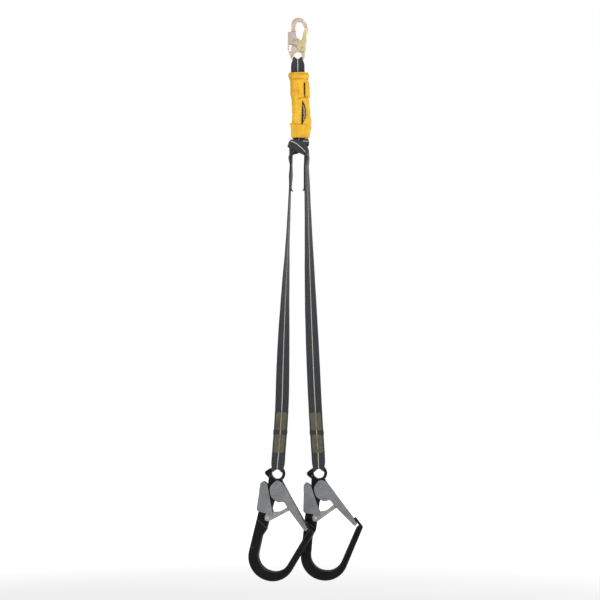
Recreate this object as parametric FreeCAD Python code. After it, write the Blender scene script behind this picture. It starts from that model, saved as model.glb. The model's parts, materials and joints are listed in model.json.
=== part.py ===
"""Twin leg shock absorbing lanyard: a snap hook, an absorber pack and two webbing legs with rebar hooks.

Row frame, in millimetres: +Z up, +X to the right seen from the front, +Y to the back.
The origin is the inside of the snap hook's bow, where a harness ring bears, and the lanyard hangs below.
Each rebar hook is drawn upright in its own frame, its eye's centre at the origin, and then placed.
"""
import FreeCAD
import Part
import math
import os

V = FreeCAD.Vector

# Webbing
WEB_WIDTH = 45.0
WEB_THICK = 2.6
PLY_GAP = 0.1

# Play between moving and fixed pieces
PIN_PLAY = 0.06
PRESS_PLAY = 0.02
LAYER_GAP = 0.3
RING_GAP = 0.3

# Reach of a cutter past the metal on each side, and how near a point counts as on a face
BEYOND = 30.0
ON_FACE = 1e-4

# Snap hook: a forged body, a gate on the right and a lock lever on the left
SNAP_HALF = 5.5
SNAP_SHEET = 1.6
SNAP_EYE = (-2.4, -113.5)
SNAP_EYE_MAJOR = 18.3
SNAP_EYE_MINOR = 4.8
SNAP_GATE_PIVOT = (12.0, -87.5)
SNAP_LEVER_PIVOT = (-15.0, -62.0)
SNAP_PIN_R = 2.6
SNAP_SPRING_POCKET = (5.2, 2.6)
SNAP_BACK_X = 27.6

# Rebar hook, in its own frame
HOOK_EYE_MAJOR = 22.5
HOOK_EYE_MINOR = 5.0
HOOK_UPPER_HALF = 8.5
HOOK_LOWER_HALF = 11.0
HOOK_STEP = ((-40.0, -158.0), (20.0, -190.0))
THROAT_CENTRE = (54.0, -240.0)
SPINE_DIMPLE = (-21.5, -258.5)
SPINE_DIMPLE_R = 2.4
SPINE_DIMPLE_DEPTH = 0.6
GATE_SPRING_POCKET = (8.6, 3.6)
LEVER_SPRING_POCKET = (6.6, 3.0)
GATE_PIVOT = (12.0, -42.0)
LEVER_PIVOT = (-4.0, -104.5)
STRUT_PIVOT = (4.5, -149.5)
GATE_PIN_R = 4.0
LEVER_PIN_R = 3.0
STRUT_PIN_R = 3.0
STRUT_SHEET = 1.8
LEVER_SHEET = 1.8
GATE_SHEET = 2.2
STRUT_IN = HOOK_UPPER_HALF + LAYER_GAP
LEVER_IN = STRUT_IN + STRUT_SHEET + LAYER_GAP
GATE_IN = LEVER_IN + LEVER_SHEET + LAYER_GAP
GATE_OUT = GATE_IN + GATE_SHEET
GATE_EDGE_START = (25.0, -24.0)
GATE_EDGE_END = (144.5, -151.0)

# Where each rebar hook hangs: its eye's centre, its lean about Y and its turn about Z, in degrees
HOOKS = {
    "left": {"eye": (-70.7, -10.0, -1504.0), "lean": 13.5, "turn": -10.0, "strap_lean": 4.4},
    "right": {"eye": (68.5, 11.0, -1504.7), "lean": 6.0, "turn": -4.0, "strap_lean": -2.6},
}

# Energy absorber pack
PACK_TOP = -170.0
PACK_BOTTOM = -386.0
PACK_LEAN_X = (0.5, 7.0)
CORE_TOP = -184.0
CORE_BOTTOM = -372.0
COVER_WALL = 2.0
COVER_HALF = (28.5, 15.7)
LABEL_LEAVES = 3
LEAF_SIZE = (13.0, 0.28, 66.0)
LEAF_CORNER = (10.5, -12.7, -340.0)
LEAF_STEP = 0.33

# Choke where the legs hang from the absorber's lower loop
CHOKE_TOP = -392.0
CHOKE_BOTTOM = -427.0
CHOKE_HALF = 14.0
CHOKE_TUNNEL = (40.6, 14.4, 60.0)
CHOKE_TUNNEL_LEFT = -18.8
CHOKE_TUNNEL_FLOOR = -422.0

# Each leg's route: a point on its centreline and the angle of its width away from X, in degrees
LEG_ROUTE = {
    "left": [
        ((-24.0, 0.0, -432.0), 86.0),
        ((-28.5, 0.0, -567.0), 83.0),
        ((-36.5, -2.5, -745.0), 74.0),
        ((-45.5, -5.0, -940.0), 50.0),
        ((-51.5, -7.5, -1130.0), 22.0),
        ((-55.0, -9.5, -1300.0), -6.0),
        ((-65.6, -10.0, -1438.0), -10.0),
    ],
    "right": [
        ((26.0, 0.0, -432.0), 74.0),
        ((29.5, 1.0, -567.0), 66.0),
        ((34.5, 3.0, -745.0), 54.0),
        ((40.5, 5.5, -940.0), 32.0),
        ((48.5, 8.0, -1130.0), 11.0),
        ((56.3, 10.5, -1300.0), -3.0),
        ((65.5, 11.0, -1438.0), -4.0),
    ],
}
SEWN_TOP = 1
SEWN_BOTTOM = 5
TAIL_NARROWING = 1.0
LOOP_REACH = 64.0
LOOP_WIDTH = 43.5

# Stitch blocks of a sewn end: their start and end as shares of its length, and the thread rows across it
STITCH_BLOCKS = ((0.02, 0.42), (0.55, 0.97))
STITCH_ROWS = 7
STITCH_SPAN = 30.0
STITCH_WIDTH = 1.2
STITCH_HEIGHT = 0.5


def rounded_wire(points, y=0.0):
    """A closed wire in the plane at y, through corners (x, z) or (x, z, radius of rounding)."""
    corners = [(V(p[0], y, p[1]), p[2] if len(p) > 2 else 0.0) for p in points]
    count = len(corners)
    edges, starts, ends, arcs = [], [], [], []
    for i in range(count):
        here, radius = corners[i]
        back = (corners[i - 1][0] - here).normalize()
        ahead = (corners[(i + 1) % count][0] - here).normalize()
        if radius <= 0:
            starts.append(here)
            ends.append(here)
            arcs.append(None)
            continue
        half = back.getAngle(ahead) / 2
        cut = radius / math.tan(half)
        middle = here + (back + ahead).normalize() * (radius / math.sin(half) - radius)
        starts.append(here + back * cut)
        ends.append(here + ahead * cut)
        arcs.append(middle)
    for i in range(count):
        if arcs[i] is not None:
            edges.append(Part.Arc(starts[i], arcs[i], ends[i]).toShape())
        after = (i + 1) % count
        if ends[i].distanceToPoint(starts[after]) > 1e-6:
            edges.append(Part.LineSegment(ends[i], starts[after]).toShape())
    return Part.Wire(edges)


def plate(points, low, high):
    """A flat plate of that outline from y = low to y = high."""
    face = Part.Face(rounded_wire(points, low))
    return face.extrude(V(0, high - low, 0))


def cheeks(points, inner, thick):
    """Two equal flanges of that outline, either side of the middle plane."""
    return [plate(points, inner, inner + thick), plate(points, -inner - thick, -inner)]


def rod(centre, radius, low, high):
    """A round bar along Y."""
    return Part.makeCylinder(radius, high - low, V(centre[0], low, centre[1]), V(0, 1, 0))


def strip(start, end, thick, inner_side, half):
    """A flat web from start to end, its thickness to the left (+1) or the right (-1) of the run."""
    run = V(end[0] - start[0], 0, end[1] - start[1]).normalize()
    side = V(-run.z, 0, run.x) * (inner_side * thick)
    a, b = V(start[0], 0, start[1]), V(end[0], 0, end[1])
    corners = [a, b, b + side, a + side]
    return plate([(c.x, c.z) for c in corners], -half, half)


def fuse(shapes):
    """One solid from several that touch or overlap."""
    joined = shapes[0].multiFuse(shapes[1:])
    return joined.removeSplitter()


def softened(shape, size, wanted):
    """The shape with its wanted edges rounded, by less if the full radius doesn't fit."""
    return edge_cut(shape, size, wanted, shape.makeFillet)


def bevelled(shape, size, wanted):
    """The shape with a chamfer along its wanted edges, smaller if the full one doesn't fit."""
    return edge_cut(shape, size, wanted, shape.makeChamfer)


def edge_cut(shape, size, wanted, tool):
    """The shape after a fillet or chamfer of the largest share of size that gives a sound solid."""
    edges = [e for e in shape.Edges if wanted(e)]
    for share in (1.0, 0.75, 0.5, 0.3):
        try:
            cut = tool(size * share, edges)
        except Part.OCCError:
            continue
        if cut.isValid() and 0.8 * shape.Volume < cut.Volume < shape.Volume:
            return cut
    return shape


def face_edges(half, shortest=0.0):
    """Accepts edges that lie in a plate's front or back face, at |y| = half."""

    def wanted(edge):
        ys = [v.Y for v in edge.Vertexes]
        flat = all(abs(abs(y) - half) < ON_FACE for y in ys) and abs(ys[0] - ys[-1]) < ON_FACE
        return flat and edge.Length > shortest

    return wanted


def turned_to(shape, centre, wanted):
    """Accepts the wanted edges that face a point (x, z) in the middle plane, such as a throat's centre."""
    middle = V(centre[0], 0, centre[1])

    def faces(edge):
        if not wanted(edge):
            return False
        point = edge.valueAt((edge.FirstParameter + edge.LastParameter) / 2)
        point.y = 0
        step = (middle - point).normalize()
        return not shape.isInside(point + step, 0.01, True)

    return faces


def torus(centre, major, minor):
    """A ring lying in the XZ plane."""
    return Part.makeTorus(major, minor, V(centre[0], 0, centre[1]), V(0, 1, 0))


def bend_edges(start, end, half):
    """Accepts the outside corners of a pressed channel, along its back from start to end."""
    a, b = V(start[0], 0, start[1]), V(end[0], 0, end[1])
    line = Part.Line(a, b)

    def wanted(edge):
        for v in edge.Vertexes:
            flat = V(v.X, 0, v.Z)
            if abs(abs(v.Y) - half) > ON_FACE or line.projectPoint(flat, "LowerDistance") > 0.05:
                return False
        return edge.Length > 10

    return wanted


def rivet(centre, radius, half, head_radius, head):
    """A rivet along Y with a domed head at each end."""
    body = rod(centre, radius, -half - head, half + head)
    parts = [body]
    for sign in (1, -1):
        low, high = sorted((sign * half, sign * (half + head)))
        disc = rod(centre, head_radius, low, high)
        rim = [e for e in disc.Edges if abs(abs(e.Vertexes[0].Y) - half - head) < ON_FACE]
        rim = [e for e in rim if e.Length > head_radius]
        parts.append(disc.makeChamfer(head * 0.45, rim[:1]))
    return fuse(parts)


def coil_spring(centre, radius, wire, turns, pitch):
    """The coils of a torsion spring round a pin along Y."""
    helix = Part.makeLongHelix(pitch, pitch * turns, radius)
    along = V(0, 2 * math.pi * radius, pitch)
    section = Part.Wire(Part.makeCircle(wire / 2, V(radius, 0, 0), along.normalize()))
    coil = Part.Wire(helix).makePipeShell([section], True, True)
    coil.rotate(V(0, 0, 0), V(1, 0, 0), -90)
    coil.translate(V(centre[0], -pitch * turns / 2, centre[1]))
    return coil


# Snap hook ---------------------------------------------------------------

def snap_hook_body():
    """A forged hook: bow, spine, gate seat, and a round eye for the webbing."""
    bow = [
        (31.5, -38), (31.5, -14, 12), (16.5, 13.5, 27), (-24.5, 13.5, 24), (-24.5, -46, 30),
        (-19, -66, 20), (-25, -88, 6), (-25, -101), (21, -101), (22, -74, 10), (3, -58, 9),
        (-8.5, -52, 12), (-8.0, 0, 11), (10.5, 0, 10), (19.0, -18.5, 4), (28.0, -20, 2.5), (28.2, -38),
    ]
    main = plate(bow, -SNAP_HALF, SNAP_HALF)
    main = softened(main, 1.6, face_edges(SNAP_HALF, 6.0))
    eye_outline = [
        (-35, -97.5, 2), (22.5, -97.5, 2), (19, -116, 10), (15, -122), (-20, -122), (-26.5, -118, 8),
    ]
    shoulders = plate(eye_outline, -SNAP_EYE_MINOR + 0.1, SNAP_EYE_MINOR - 0.1)
    shoulders = softened(shoulders, 1.2, face_edges(SNAP_EYE_MINOR - 0.1, 5.0))
    hole = rod(SNAP_EYE, SNAP_EYE_MAJOR - SNAP_EYE_MINOR, -BEYOND, BEYOND)
    below = plate([(-50, -119.5), (50, -119.5), (50, -150), (-50, -150)], -BEYOND, BEYOND)
    body = fuse([main, shoulders]).cut(hole).cut(below)
    body = fuse([body, torus(SNAP_EYE, SNAP_EYE_MAJOR, SNAP_EYE_MINOR)])
    for pivot in (SNAP_GATE_PIVOT, SNAP_LEVER_PIVOT):
        body = body.cut(rod(pivot, SNAP_PIN_R + PRESS_PLAY, -BEYOND, BEYOND))
        body = body.cut(rod(pivot, SNAP_SPRING_POCKET[0], -SNAP_SPRING_POCKET[1], SNAP_SPRING_POCKET[1]))
    return body


def snap_hook_gate():
    """A pressed channel that closes the hook, with its back on the outside."""
    outline = [
        (19.0, -23, 2), (SNAP_BACK_X, -23, 2), (SNAP_BACK_X, -60, 30), (24.5, -97, 7), (6, -98.5, 5),
        (-7, -84, 5), (-6, -61, 4), (11.5, -61, 6), (14, -40, 20),
    ]
    inner = SNAP_HALF + LAYER_GAP
    flanges = cheeks(outline, inner, SNAP_SHEET)
    back = strip((SNAP_BACK_X, -25), (SNAP_BACK_X, -56), SNAP_SHEET, -1, inner + 0.2)
    gate = fuse(flanges + [back])
    gate = softened(gate, 1.4, bend_edges((SNAP_BACK_X, -23), (SNAP_BACK_X, -60), inner + SNAP_SHEET))
    return gate.cut(rod(SNAP_GATE_PIVOT, SNAP_PIN_R + PIN_PLAY, -BEYOND, BEYOND))


def snap_hook_lock_lever():
    """A pressed thumb lever over the spine, with a free tail below."""
    outline = [
        (-35.5, -34, 3), (-8, -34, 4), (-5, -62, 12), (-3, -83, 4), (-22, -74, 8), (-31, -74, 4),
        (-31.5, -92.5, 2), (-36, -92.5, 2),
    ]
    inner = SNAP_HALF + LAYER_GAP + SNAP_SHEET + LAYER_GAP
    flanges = cheeks(outline, inner, SNAP_SHEET)
    back = strip((-35.5, -38), (-35.9, -90), SNAP_SHEET, 1, inner + 0.2)
    lever = fuse(flanges + [back])
    lever = softened(lever, 1.4, bend_edges((-35.5, -34), (-36, -92.5), inner + SNAP_SHEET))
    return lever.cut(rod(SNAP_LEVER_PIVOT, SNAP_PIN_R + PIN_PLAY, -BEYOND, BEYOND))


def snap_pin(pivot, half):
    """A snap hook rivet through the body and one pair of flanges."""
    return rivet(pivot, SNAP_PIN_R, half, SNAP_PIN_R + 2.0, 1.2)


# Rebar hook --------------------------------------------------------------

def rebar_hook_body():
    """A forged hook: round eye with a spur, a machined upper spine, and a deep bow that ends in a beak."""
    outline = [
        (-24, -10), (-21, -46, 18), (-31, -95, 60), (-32, -354.5, 80), (107.4, -354.5, 77),
        (165.5, -162, 7),
        (137, -131.5), (131.8, -137), (151, -157.3), (143, -165.5), (94.6, -320, 51),
        (3, -320, 51), (1.5, -213, 10), (10.5, -190, 8), (12.5, -95, 20), (25, -64, 10), (25, -22),
        (18, -10),
    ]
    step_a, step_b = HOOK_STEP
    above = [step_a, step_b, (60, -150), (60, 40), (-60, 40), (-60, -150)]
    upper = plate(outline, -HOOK_UPPER_HALF, HOOK_UPPER_HALF).common(plate(above, -BEYOND, BEYOND))
    lower = plate(outline, -HOOK_LOWER_HALF, HOOK_LOWER_HALF)
    rims = face_edges(HOOK_LOWER_HALF, 12.0)
    facing = turned_to(lower, THROAT_CENTRE, rims)
    lower = softened(lower, 4.5, lambda edge: rims(edge) and not facing(edge))
    lower = bevelled(lower, 4.0, facing)
    upper = bevelled(upper, 1.2, face_edges(HOOK_UPPER_HALF, 12.0))
    lower = lower.cut(plate(above, -BEYOND, BEYOND))
    spur_outline = [(-14, 6.0), (-27, 11.8, 2), (-45, -7, 8), (-22, -22), (0, -22), (0, 6.0)]
    spur = plate(spur_outline, -HOOK_EYE_MINOR + 0.2, HOOK_EYE_MINOR - 0.2)
    body = fuse([upper, lower, spur])
    body = body.cut(rod((0, 0), HOOK_EYE_MAJOR - HOOK_EYE_MINOR, -BEYOND, BEYOND))
    body = fuse([body, torus((0, 0), HOOK_EYE_MAJOR, HOOK_EYE_MINOR)])
    for pivot, radius in ((GATE_PIVOT, GATE_PIN_R), (LEVER_PIVOT, LEVER_PIN_R), (STRUT_PIVOT, STRUT_PIN_R)):
        body = body.cut(rod(pivot, radius + PRESS_PLAY, -BEYOND, BEYOND))
    for pivot, (radius, half) in ((GATE_PIVOT, GATE_SPRING_POCKET), (LEVER_PIVOT, LEVER_SPRING_POCKET)):
        body = body.cut(rod(pivot, radius, -half, half))
    for sign in (1, -1):
        low, high = sorted((sign * (HOOK_LOWER_HALF - SPINE_DIMPLE_DEPTH), sign * BEYOND))
        body = body.cut(rod(SPINE_DIMPLE, SPINE_DIMPLE_R, low, high))
    return body


def gate_point(along, outward=0.0):
    """A point of the closed gate, measured along its outer edge and outward from it."""
    a, b = GATE_EDGE_START, GATE_EDGE_END
    size = math.hypot(b[0] - a[0], b[1] - a[1])
    dx, dz = (b[0] - a[0]) / size, (b[1] - a[1]) / size
    return (a[0] + dx * along - dz * outward, a[1] + dz * along + dx * outward)


def rebar_gate():
    """A pressed channel: a round head over the neck, a tapering arm, and its back along the outer edge."""
    outline = [
        (25, -24, 4), gate_point(174.4) + (2,), (141.0, -159.5, 2), (134, -159.5, 2), (63.5, -102.5, 14),
        (46, -83.5, 10), (27, -92, 16), (-1, -80, 26), (-13.5, -50, 26), (6, -17, 14),
    ]
    flanges = cheeks(outline, GATE_IN, GATE_SHEET)
    back = strip(gate_point(13), gate_point(172), GATE_SHEET, -1, GATE_IN + 0.2)
    gate = fuse(flanges + [back])
    gate = softened(gate, 1.9, bend_edges(GATE_EDGE_START, GATE_EDGE_END, GATE_OUT))
    return gate.cut(rod(GATE_PIVOT, GATE_PIN_R + PIN_PLAY, -BEYOND, BEYOND))


def rebar_lever():
    """A pressed palm lever that straddles the spine, its back on the outside."""
    outline = [
        (-39, -35, 7), (-46, -44, 8), (-38.8, -131, 4), (-34, -136.5, 3), (-7, -137.5, 6),
        (17.5, -140.5, 3), (19.5, -134, 4), (3, -98, 12), (-22, -43, 10),
    ]
    flanges = cheeks(outline, LEVER_IN, LEVER_SHEET)
    top, bottom = (-46, -44), (-38.8, -131)
    back = strip((-45.3, -52), (-39.4, -124), LEVER_SHEET, 1, LEVER_IN + 0.2)
    lever = fuse(flanges + [back])
    lever = softened(lever, 1.6, bend_edges(top, bottom, LEVER_IN + LEVER_SHEET))
    return lever.cut(rod(LEVER_PIVOT, LEVER_PIN_R + PIN_PLAY, -BEYOND, BEYOND))


def rebar_strut():
    """The two arms of a strut pinned to the spine, whose far ends run inside the gate's channel."""
    outline = [
        (-6, -147, 6), (0, -130, 8), (17, -128, 8), (37, -122, 14), (62.5, -97.5, 4),
        (73, -105.5, 4), (12, -160.5, 8), (-3, -160.5, 7),
    ]
    strut = Part.makeCompound(cheeks(outline, STRUT_IN, STRUT_SHEET))
    return strut.cut(rod(STRUT_PIVOT, STRUT_PIN_R + PIN_PLAY, -BEYOND, BEYOND))


def rebar_parts():
    """Every piece of one rebar hook, upright in its own frame."""
    return {
        "hook_body": rebar_hook_body(),
        "gate": rebar_gate(),
        "palm_lever": rebar_lever(),
        "lock_strut": rebar_strut(),
        "gate_rivet": rivet(GATE_PIVOT, GATE_PIN_R, GATE_OUT + 0.1, 8.0, 2.0),
        "lever_rivet": rivet(LEVER_PIVOT, LEVER_PIN_R, LEVER_IN + LEVER_SHEET + 0.1, 4.6, 1.3),
        "strut_rivet": rivet(STRUT_PIVOT, STRUT_PIN_R, STRUT_IN + STRUT_SHEET + 0.1, 4.6, 1.3),
        "gate_spring": coil_spring(GATE_PIVOT, 6.0, 1.2, 4, 1.5),
        "lever_spring": coil_spring(LEVER_PIVOT, 4.6, 1.0, 4, 1.2),
    }


def hook_placement(side):
    """Where a rebar hook hangs: its lean about Y first, then its turn about Z."""
    place = HOOKS[side]
    lean = FreeCAD.Rotation(V(0, 1, 0), place["lean"])
    turn = FreeCAD.Rotation(V(0, 0, 1), place["turn"])
    return FreeCAD.Placement(V(*place["eye"]), turn.multiply(lean))


# Webbing -----------------------------------------------------------------

def band(point, turn, width, near, far):
    """A webbing cross-section, its width turned from X in degrees, from near to far along its normal."""
    a = math.radians(turn)
    across = V(math.cos(a), math.sin(a), 0) * (width / 2)
    out = V(-math.sin(a), math.cos(a), 0)
    centre = V(*point)
    front, back = centre + out * near, centre + out * far
    corners = [front - across, front + across, back + across, back - across]
    return Part.makePolygon(corners + corners[:1])


def ribbon(sections):
    """A solid strap through cross-sections."""
    return Part.makeLoft(sections, True, True)


def eye_saddle(major, inner, outer, half_angle):
    """Webbing bent under a ring's bar, between two distances from the bar's centre line."""
    arc_out = Part.Arc(V(0, -outer, major), V(0, 0, major - outer), V(0, outer, major)).toShape()
    arc_in = Part.Arc(V(0, inner, major), V(0, 0, major - inner), V(0, -inner, major)).toShape()
    back = Part.LineSegment(V(0, outer, major), V(0, inner, major)).toShape()
    front = Part.LineSegment(V(0, -inner, major), V(0, -outer, major)).toShape()
    face = Part.Face(Part.Wire([arc_out, back, arc_in, front]))
    face.rotate(V(0, 0, 0), V(0, 1, 0), -half_angle)
    return face.revolve(V(0, 0, 0), V(0, 1, 0), 2 * half_angle)


def eye_loop(major, minor, ply, half_angle, reach, width, stem_half):
    """Webbing round a ring's bar: a saddle under it and two plies that rise along +Z to reach."""
    inner, outer = minor + RING_GAP, minor + RING_GAP + ply
    edge = major * math.sin(math.radians(half_angle))
    low = major * math.cos(math.radians(half_angle))
    knee = major + minor + 4
    pieces = [eye_saddle(major, inner, outer, half_angle)]
    for sign in (1, -1):
        near, far = sorted((sign * inner, sign * outer))
        flat = plate([(-edge, low), (-width / 2, knee), (width / 2, knee), (edge, low)], near, far)
        flat = flat.cut(rod((0, 0), major, -BEYOND, BEYOND))
        top_near, top_far = sorted((sign * (stem_half - ply), sign * stem_half))
        foot = band((0, 0, knee), 0, width, near, far)
        top = band((0, 0, reach), 0, width, top_near, top_far)
        pieces += [flat, ribbon([foot, top])]
    return fuse(pieces)


def leg_webbing(side):
    """One leg's webbing: the run, the tail sewn back at each end, and the loop in the hook's eye."""
    route = LEG_ROUTE[side]
    half = WEB_THICK / 2
    strap = ribbon([band(p, t, WEB_WIDTH, -half, half) for p, t in route])
    inward = 1 if side == "right" else -1
    near, far = sorted((inward * (half + PLY_GAP), inward * (half + PLY_GAP + WEB_THICK)))
    tail_width = WEB_WIDTH - TAIL_NARROWING
    top_tail = ribbon([band(p, t, tail_width, near, far) for p, t in route[: SEWN_TOP + 1]])
    near, far = -half - PLY_GAP - WEB_THICK, -half - PLY_GAP
    bottom_tail = ribbon([band(p, t, tail_width, near, far) for p, t in route[SEWN_BOTTOM:]])
    place = HOOKS[side]
    stem_half = WEB_THICK + 2 * PLY_GAP
    loop = eye_loop(HOOK_EYE_MAJOR, HOOK_EYE_MINOR, WEB_THICK, 45, LOOP_REACH, LOOP_WIDTH, stem_half)
    lean = FreeCAD.Rotation(V(0, 1, 0), place["strap_lean"])
    turn = FreeCAD.Rotation(V(0, 0, 1), place["turn"])
    loop.Placement = FreeCAD.Placement(V(*place["eye"]), turn.multiply(lean))
    return Part.makeCompound([strap, top_tail, bottom_tail, loop])


def stitching(side):
    """The blocks of lengthwise thread rows that sew each leg's tails down, front and back."""
    (a, turn_a), (b, turn_b) = LEG_ROUTE[side][SEWN_BOTTOM:]
    low, high = V(*a), V(*b)
    half = WEB_THICK / 2
    front = -half - PLY_GAP - WEB_THICK - STITCH_HEIGHT - PLY_GAP
    back = half + PLY_GAP

    def section(share, offset, face):
        turn = turn_a + (turn_b - turn_a) * share
        across = V(math.cos(math.radians(turn)), math.sin(math.radians(turn)), 0)
        point = low + (high - low) * share + across * offset
        return band(tuple(point), turn, STITCH_WIDTH, face, face + STITCH_HEIGHT)

    rows = []
    for first, last in STITCH_BLOCKS:
        for row in range(STITCH_ROWS):
            offset = (row / (STITCH_ROWS - 1) - 0.5) * STITCH_SPAN
            for face in (front, back):
                rows.append(ribbon([section(first, offset, face), section(last, offset, face)]))
    return Part.makeCompound(rows)


# Energy absorber ---------------------------------------------------------

def pack_block(half_x, half_y, radius, top, bottom, shift=0.0, narrowing=0.0):
    """An upright rounded block that follows the pack's slight lean, and may narrow toward its bottom."""

    def level(z, half):
        share = (PACK_TOP - z) / (PACK_TOP - PACK_BOTTOM)
        x = PACK_LEAN_X[0] + (PACK_LEAN_X[1] - PACK_LEAN_X[0]) * share + shift
        corners = [(x - half, -half_y), (x + half, -half_y), (x + half, half_y), (x - half, half_y)]
        wire = rounded_wire([c + (radius,) for c in corners])
        wire.rotate(V(0, 0, 0), V(1, 0, 0), 90)
        wire.translate(V(0, 0, z))
        return wire

    return Part.makeLoft([level(bottom, half_x - narrowing), level(top, half_x)], True, True)


def pack_sleeve(half_x, half_y, radius, wall, top, bottom, shift=0.0, narrowing=0.0):
    """A tube of cloth round the pack, open at both ends."""
    outer = pack_block(half_x, half_y, radius, top, bottom, shift, narrowing)
    inner = pack_block(half_x - wall, half_y - wall, radius - wall, top, bottom, shift, narrowing)
    return outer.cut(inner)


def absorber_cover():
    """The cloth cover: a sleeve with a narrow slot and, below it, a bowed seam opening in its front."""
    sleeve = pack_sleeve(COVER_HALF[0], COVER_HALF[1], 8, COVER_WALL, PACK_TOP - 4, PACK_BOTTOM, 1.0)
    front = -COVER_HALF[1] - 1
    behind = -COVER_HALF[1] + COVER_WALL + 1
    slot = [(18.4, -205, 2), (23.6, -205, 2), (23.6, -252, 2), (18.4, -252, 2)]
    mouth = [(12.5, -263, 1), (24, -285, 30), (27, -318, 30), (8.5, -346, 1), (8.5, -300, 20)]
    return sleeve.cut(plate(slot, front, behind)).cut(plate(mouth, front, behind))


def lower_loop():
    """The absorber's lower webbing loop, which carries the hitch of both legs."""
    inner = 4.0
    outer = inner + WEB_THICK
    bend = -412.0
    left, right = -18.0, 21.0
    bow = 2.5
    top = CORE_BOTTOM
    straight_out = [V(0, -outer, top), V(0, -outer, bend), V(0, outer, bend), V(0, outer, top)]
    straight_in = [V(0, inner, top), V(0, inner, bend), V(0, -inner, bend), V(0, -inner, top)]
    edges = []
    for corners, reach in ((straight_out, outer), (straight_in, inner)):
        a, b, c, d = corners
        edges.append(Part.LineSegment(a, b).toShape())
        edges.append(Part.Arc(b, V(0, 0, bend - reach - bow), c).toShape())
        edges.append(Part.LineSegment(c, d).toShape())
    edges.append(Part.LineSegment(straight_out[3], straight_in[0]).toShape())
    edges.append(Part.LineSegment(straight_in[3], straight_out[0]).toShape())
    wire = Part.Wire(Part.__sortEdges__(edges))
    loop = Part.Face(wire).extrude(V(right - left, 0, 0))
    loop.translate(V(left, 0, 0))
    return loop


def choke_hitch():
    """The legs' shared bight, choked round the absorber's lower loop."""
    outline = [(-27, CHOKE_TOP, 6), (35, CHOKE_TOP, 7), (35, CHOKE_BOTTOM, 8), (-31, CHOKE_BOTTOM, 9)]
    lump = softened(plate(outline, -CHOKE_HALF, CHOKE_HALF), 4.0, face_edges(CHOKE_HALF, 5.0))
    width, depth, height = CHOKE_TUNNEL
    tunnel = Part.makeBox(width, depth, height, V(CHOKE_TUNNEL_LEFT, -depth / 2, CHOKE_TUNNEL_FLOOR))
    return lump.cut(tunnel)


def absorber_parts():
    """The pack and the webbing loops at its two ends."""
    reach = SNAP_EYE[1] - CORE_TOP - LAYER_GAP
    upper = eye_loop(SNAP_EYE_MAJOR, SNAP_EYE_MINOR, WEB_THICK, 48, reach, 42.0, WEB_THICK + LAYER_GAP)
    upper.rotate(V(0, 0, 0), V(0, 1, 0), 180)
    upper.translate(V(SNAP_EYE[0], 0, SNAP_EYE[1]))
    flap = [(24.0, -203, 1), (37, -203, 3), (38.5, -252.5, 2), (24.0, -252.5, 1)]
    return {
        "absorber_upper_loop": upper,
        "absorber_lower_loop": lower_loop(),
        "leg_choke_hitch": choke_hitch(),
        "tear_webbing_core": pack_block(24.5, 12.5, 5, CORE_TOP, CORE_BOTTOM, 1.0),
        "absorber_cover": absorber_cover(),
        "cover_upper_flap": plate(flap, -17.4, -15.9),
        "warning_label_leaves": label_leaves(),
        "upper_collar": pack_sleeve(34.0, 18.4, 10, 2.6, PACK_TOP, PACK_TOP - 21, -0.5),
        "lower_wrap_band": pack_sleeve(35.0, 18.2, 9, 2.4, -337.0, PACK_BOTTOM - 0.5, 0.6, 3.5),
    }


def label_leaves():
    """Folded label leaves tucked behind the cover's seam opening."""
    leaves = []
    width, thick, height = LEAF_SIZE
    left, back, foot = LEAF_CORNER
    for i in range(LABEL_LEAVES):
        leaves.append(Part.makeBox(width, thick, height, V(left, back - i * LEAF_STEP - thick, foot)))
    return Part.makeCompound(leaves)


def build():
    """Every node's shape, in the row frame."""
    shapes = {
        "snap_hook_body": snap_hook_body(),
        "snap_hook_gate": snap_hook_gate(),
        "snap_hook_lock_lever": snap_hook_lock_lever(),
        "snap_hook_gate_rivet": snap_pin(SNAP_GATE_PIVOT, SNAP_HALF + LAYER_GAP + SNAP_SHEET + 0.1),
        "snap_hook_lever_rivet": snap_pin(SNAP_LEVER_PIVOT, SNAP_HALF + 2 * (LAYER_GAP + SNAP_SHEET) + 0.1),
        "snap_hook_gate_spring": coil_spring(SNAP_GATE_PIVOT, 3.9, 0.9, 4, 1.05),
        "snap_hook_lever_spring": coil_spring(SNAP_LEVER_PIVOT, 3.9, 0.9, 4, 1.05),
    }
    shapes.update(absorber_parts())
    for side in HOOKS:
        shapes[f"{side}_leg_webbing"] = leg_webbing(side)
        shapes[f"{side}_leg_stitching"] = stitching(side)
        place = hook_placement(side)
        for name, shape in rebar_parts().items():
            shape.Placement = place.multiply(shape.Placement)
            shapes[f"{side}_{name}"] = shape
    return shapes


def main():
    os.makedirs("parts", exist_ok=True)
    for name, shape in build().items():
        shape.exportStep(f"parts/{name}.step")
        volume = shape.Volume / 1000
        print(f"{name:28s} solids {len(shape.Solids)} valid {shape.isValid()} volume {volume:9.3f} cm3")


if __name__ == "__main__":
    main()
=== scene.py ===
import json
import math

import bmesh
import bpy
from mathutils import Matrix, Vector, noise
from mathutils.bvhtree import BVHTree


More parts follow.
